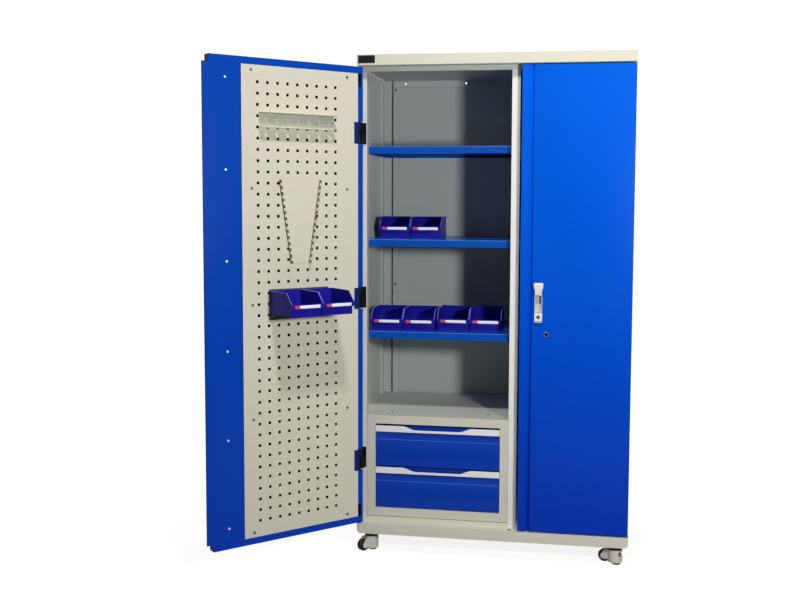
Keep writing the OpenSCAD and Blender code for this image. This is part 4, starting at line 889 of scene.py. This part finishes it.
floor_white = bpy.data.materials.new("pale_floor")
floor_white.use_nodes = True
floor_shader = floor_white.node_tree.nodes["Principled BSDF"]
floor_shader.inputs["Base Color"].default_value = (0.42, 0.42, 0.42, 1.0)
floor_shader.inputs["Roughness"].default_value = 0.8
floor_shader.inputs["Specular IOR Level"].default_value = 0.1
floor_shader.inputs["Emission Color"].default_value = (1.0, 1.0, 1.0, 1.0)
floor_glow = seen_white(floor_white.node_tree, near=0.86, far=1.0, unseen=0.0, mirror=0.04)
floor_white.node_tree.links.new(floor_glow, floor_shader.inputs["Emission Strength"])
floor_mesh = grid_mesh("floor", sweep_floor())
floor_mesh.materials.append(floor_white)
floor = bpy.data.objects.new("floor", floor_mesh)
bpy.context.scene.collection.objects.link(floor)


def standing(right, up, back, place):
    """The matrix that turns an object's own X, Y and Z to three directions, at a place."""
    return Matrix([[right[k], up[k], back[k], place[k]] for k in range(3)] + [[0, 0, 0, 1]])


def lamp(name, place, aim, size, power, colour):
    """A square area lamp at a place, turned to face a point."""
    data = bpy.data.lights.new(name, "AREA")
    data.size = size
    data.energy = power
    data.color = colour
    made = bpy.data.objects.new(name, data)
    bpy.context.scene.collection.objects.link(made)
    back = np.array(place, float) - np.array(aim, float)
    back /= np.linalg.norm(back)
    side = np.cross([0.0, 0.0, 1.0], back)
    side /= np.linalg.norm(side)
    made.matrix_world = standing(side, np.cross(back, side), back, place)


lamp("key", place=(1.15, -2.35, 1.29), aim=(-0.10, 0.0, 0.95), size=0.20, power=33.0,
     colour=(1.0, 0.985, 0.96))
lamp("overhead", place=(0.10, -1.90, 3.60), aim=(-0.15, -0.25, 0.8), size=0.24, power=43.0,
     colour=(1.0, 0.99, 0.96))
lamp("rear", place=(-1.30, 3.00, 2.30), aim=(-0.15, 0.2, 0.85), size=0.40, power=40.0,
     colour=(1.0, 0.99, 0.97))
world = bpy.data.worlds.new("room")
bpy.context.scene.world = world
world.use_nodes = True
sky = world.node_tree.nodes["Background"]
sky.inputs["Color"].default_value = (1.0, 1.0, 1.0, 1.0)
room_above = span(world.node_tree, position(world.node_tree)["Z"], -0.06, 0.14, 0.05, 0.50)
room_glow = seen_white(world.node_tree, near=1.0, far=1.0, unseen=0.040, mirror=room_above)
world.node_tree.links.new(room_glow, sky.inputs["Strength"])

# ---------------------------------------------------------------------------
# Camera: where the photograph was taken from, a little right of the middle and
# 1.3 m over the floor, worked out from the panel's grid of holes.

yaw, pitch, roll = math.radians(-9.166), math.radians(-4.419), math.radians(0.288)
ahead = np.array([math.sin(yaw) * math.cos(pitch), math.cos(yaw) * math.cos(pitch), math.sin(pitch)])
level_right = np.array([math.cos(yaw), -math.sin(yaw), 0.0])
level_up = np.cross(level_right, ahead)
right = math.cos(roll) * level_right + math.sin(roll) * level_up
upright = -math.sin(roll) * level_right + math.cos(roll) * level_up
eye = (0.34288, -3.90205, 1.25848)
camera_data = bpy.data.cameras.new("camera")
camera_data.lens = 45.544
camera_data.sensor_width = 36.0
camera_data.shift_x = -0.0321
camera_data.shift_y = -0.0307
camera = bpy.data.objects.new("camera", camera_data)
bpy.context.scene.collection.objects.link(camera)
camera.matrix_world = standing(right, upright, -ahead, eye)
bpy.context.scene.camera = camera
bpy.context.scene.view_settings.view_transform = "Standard"
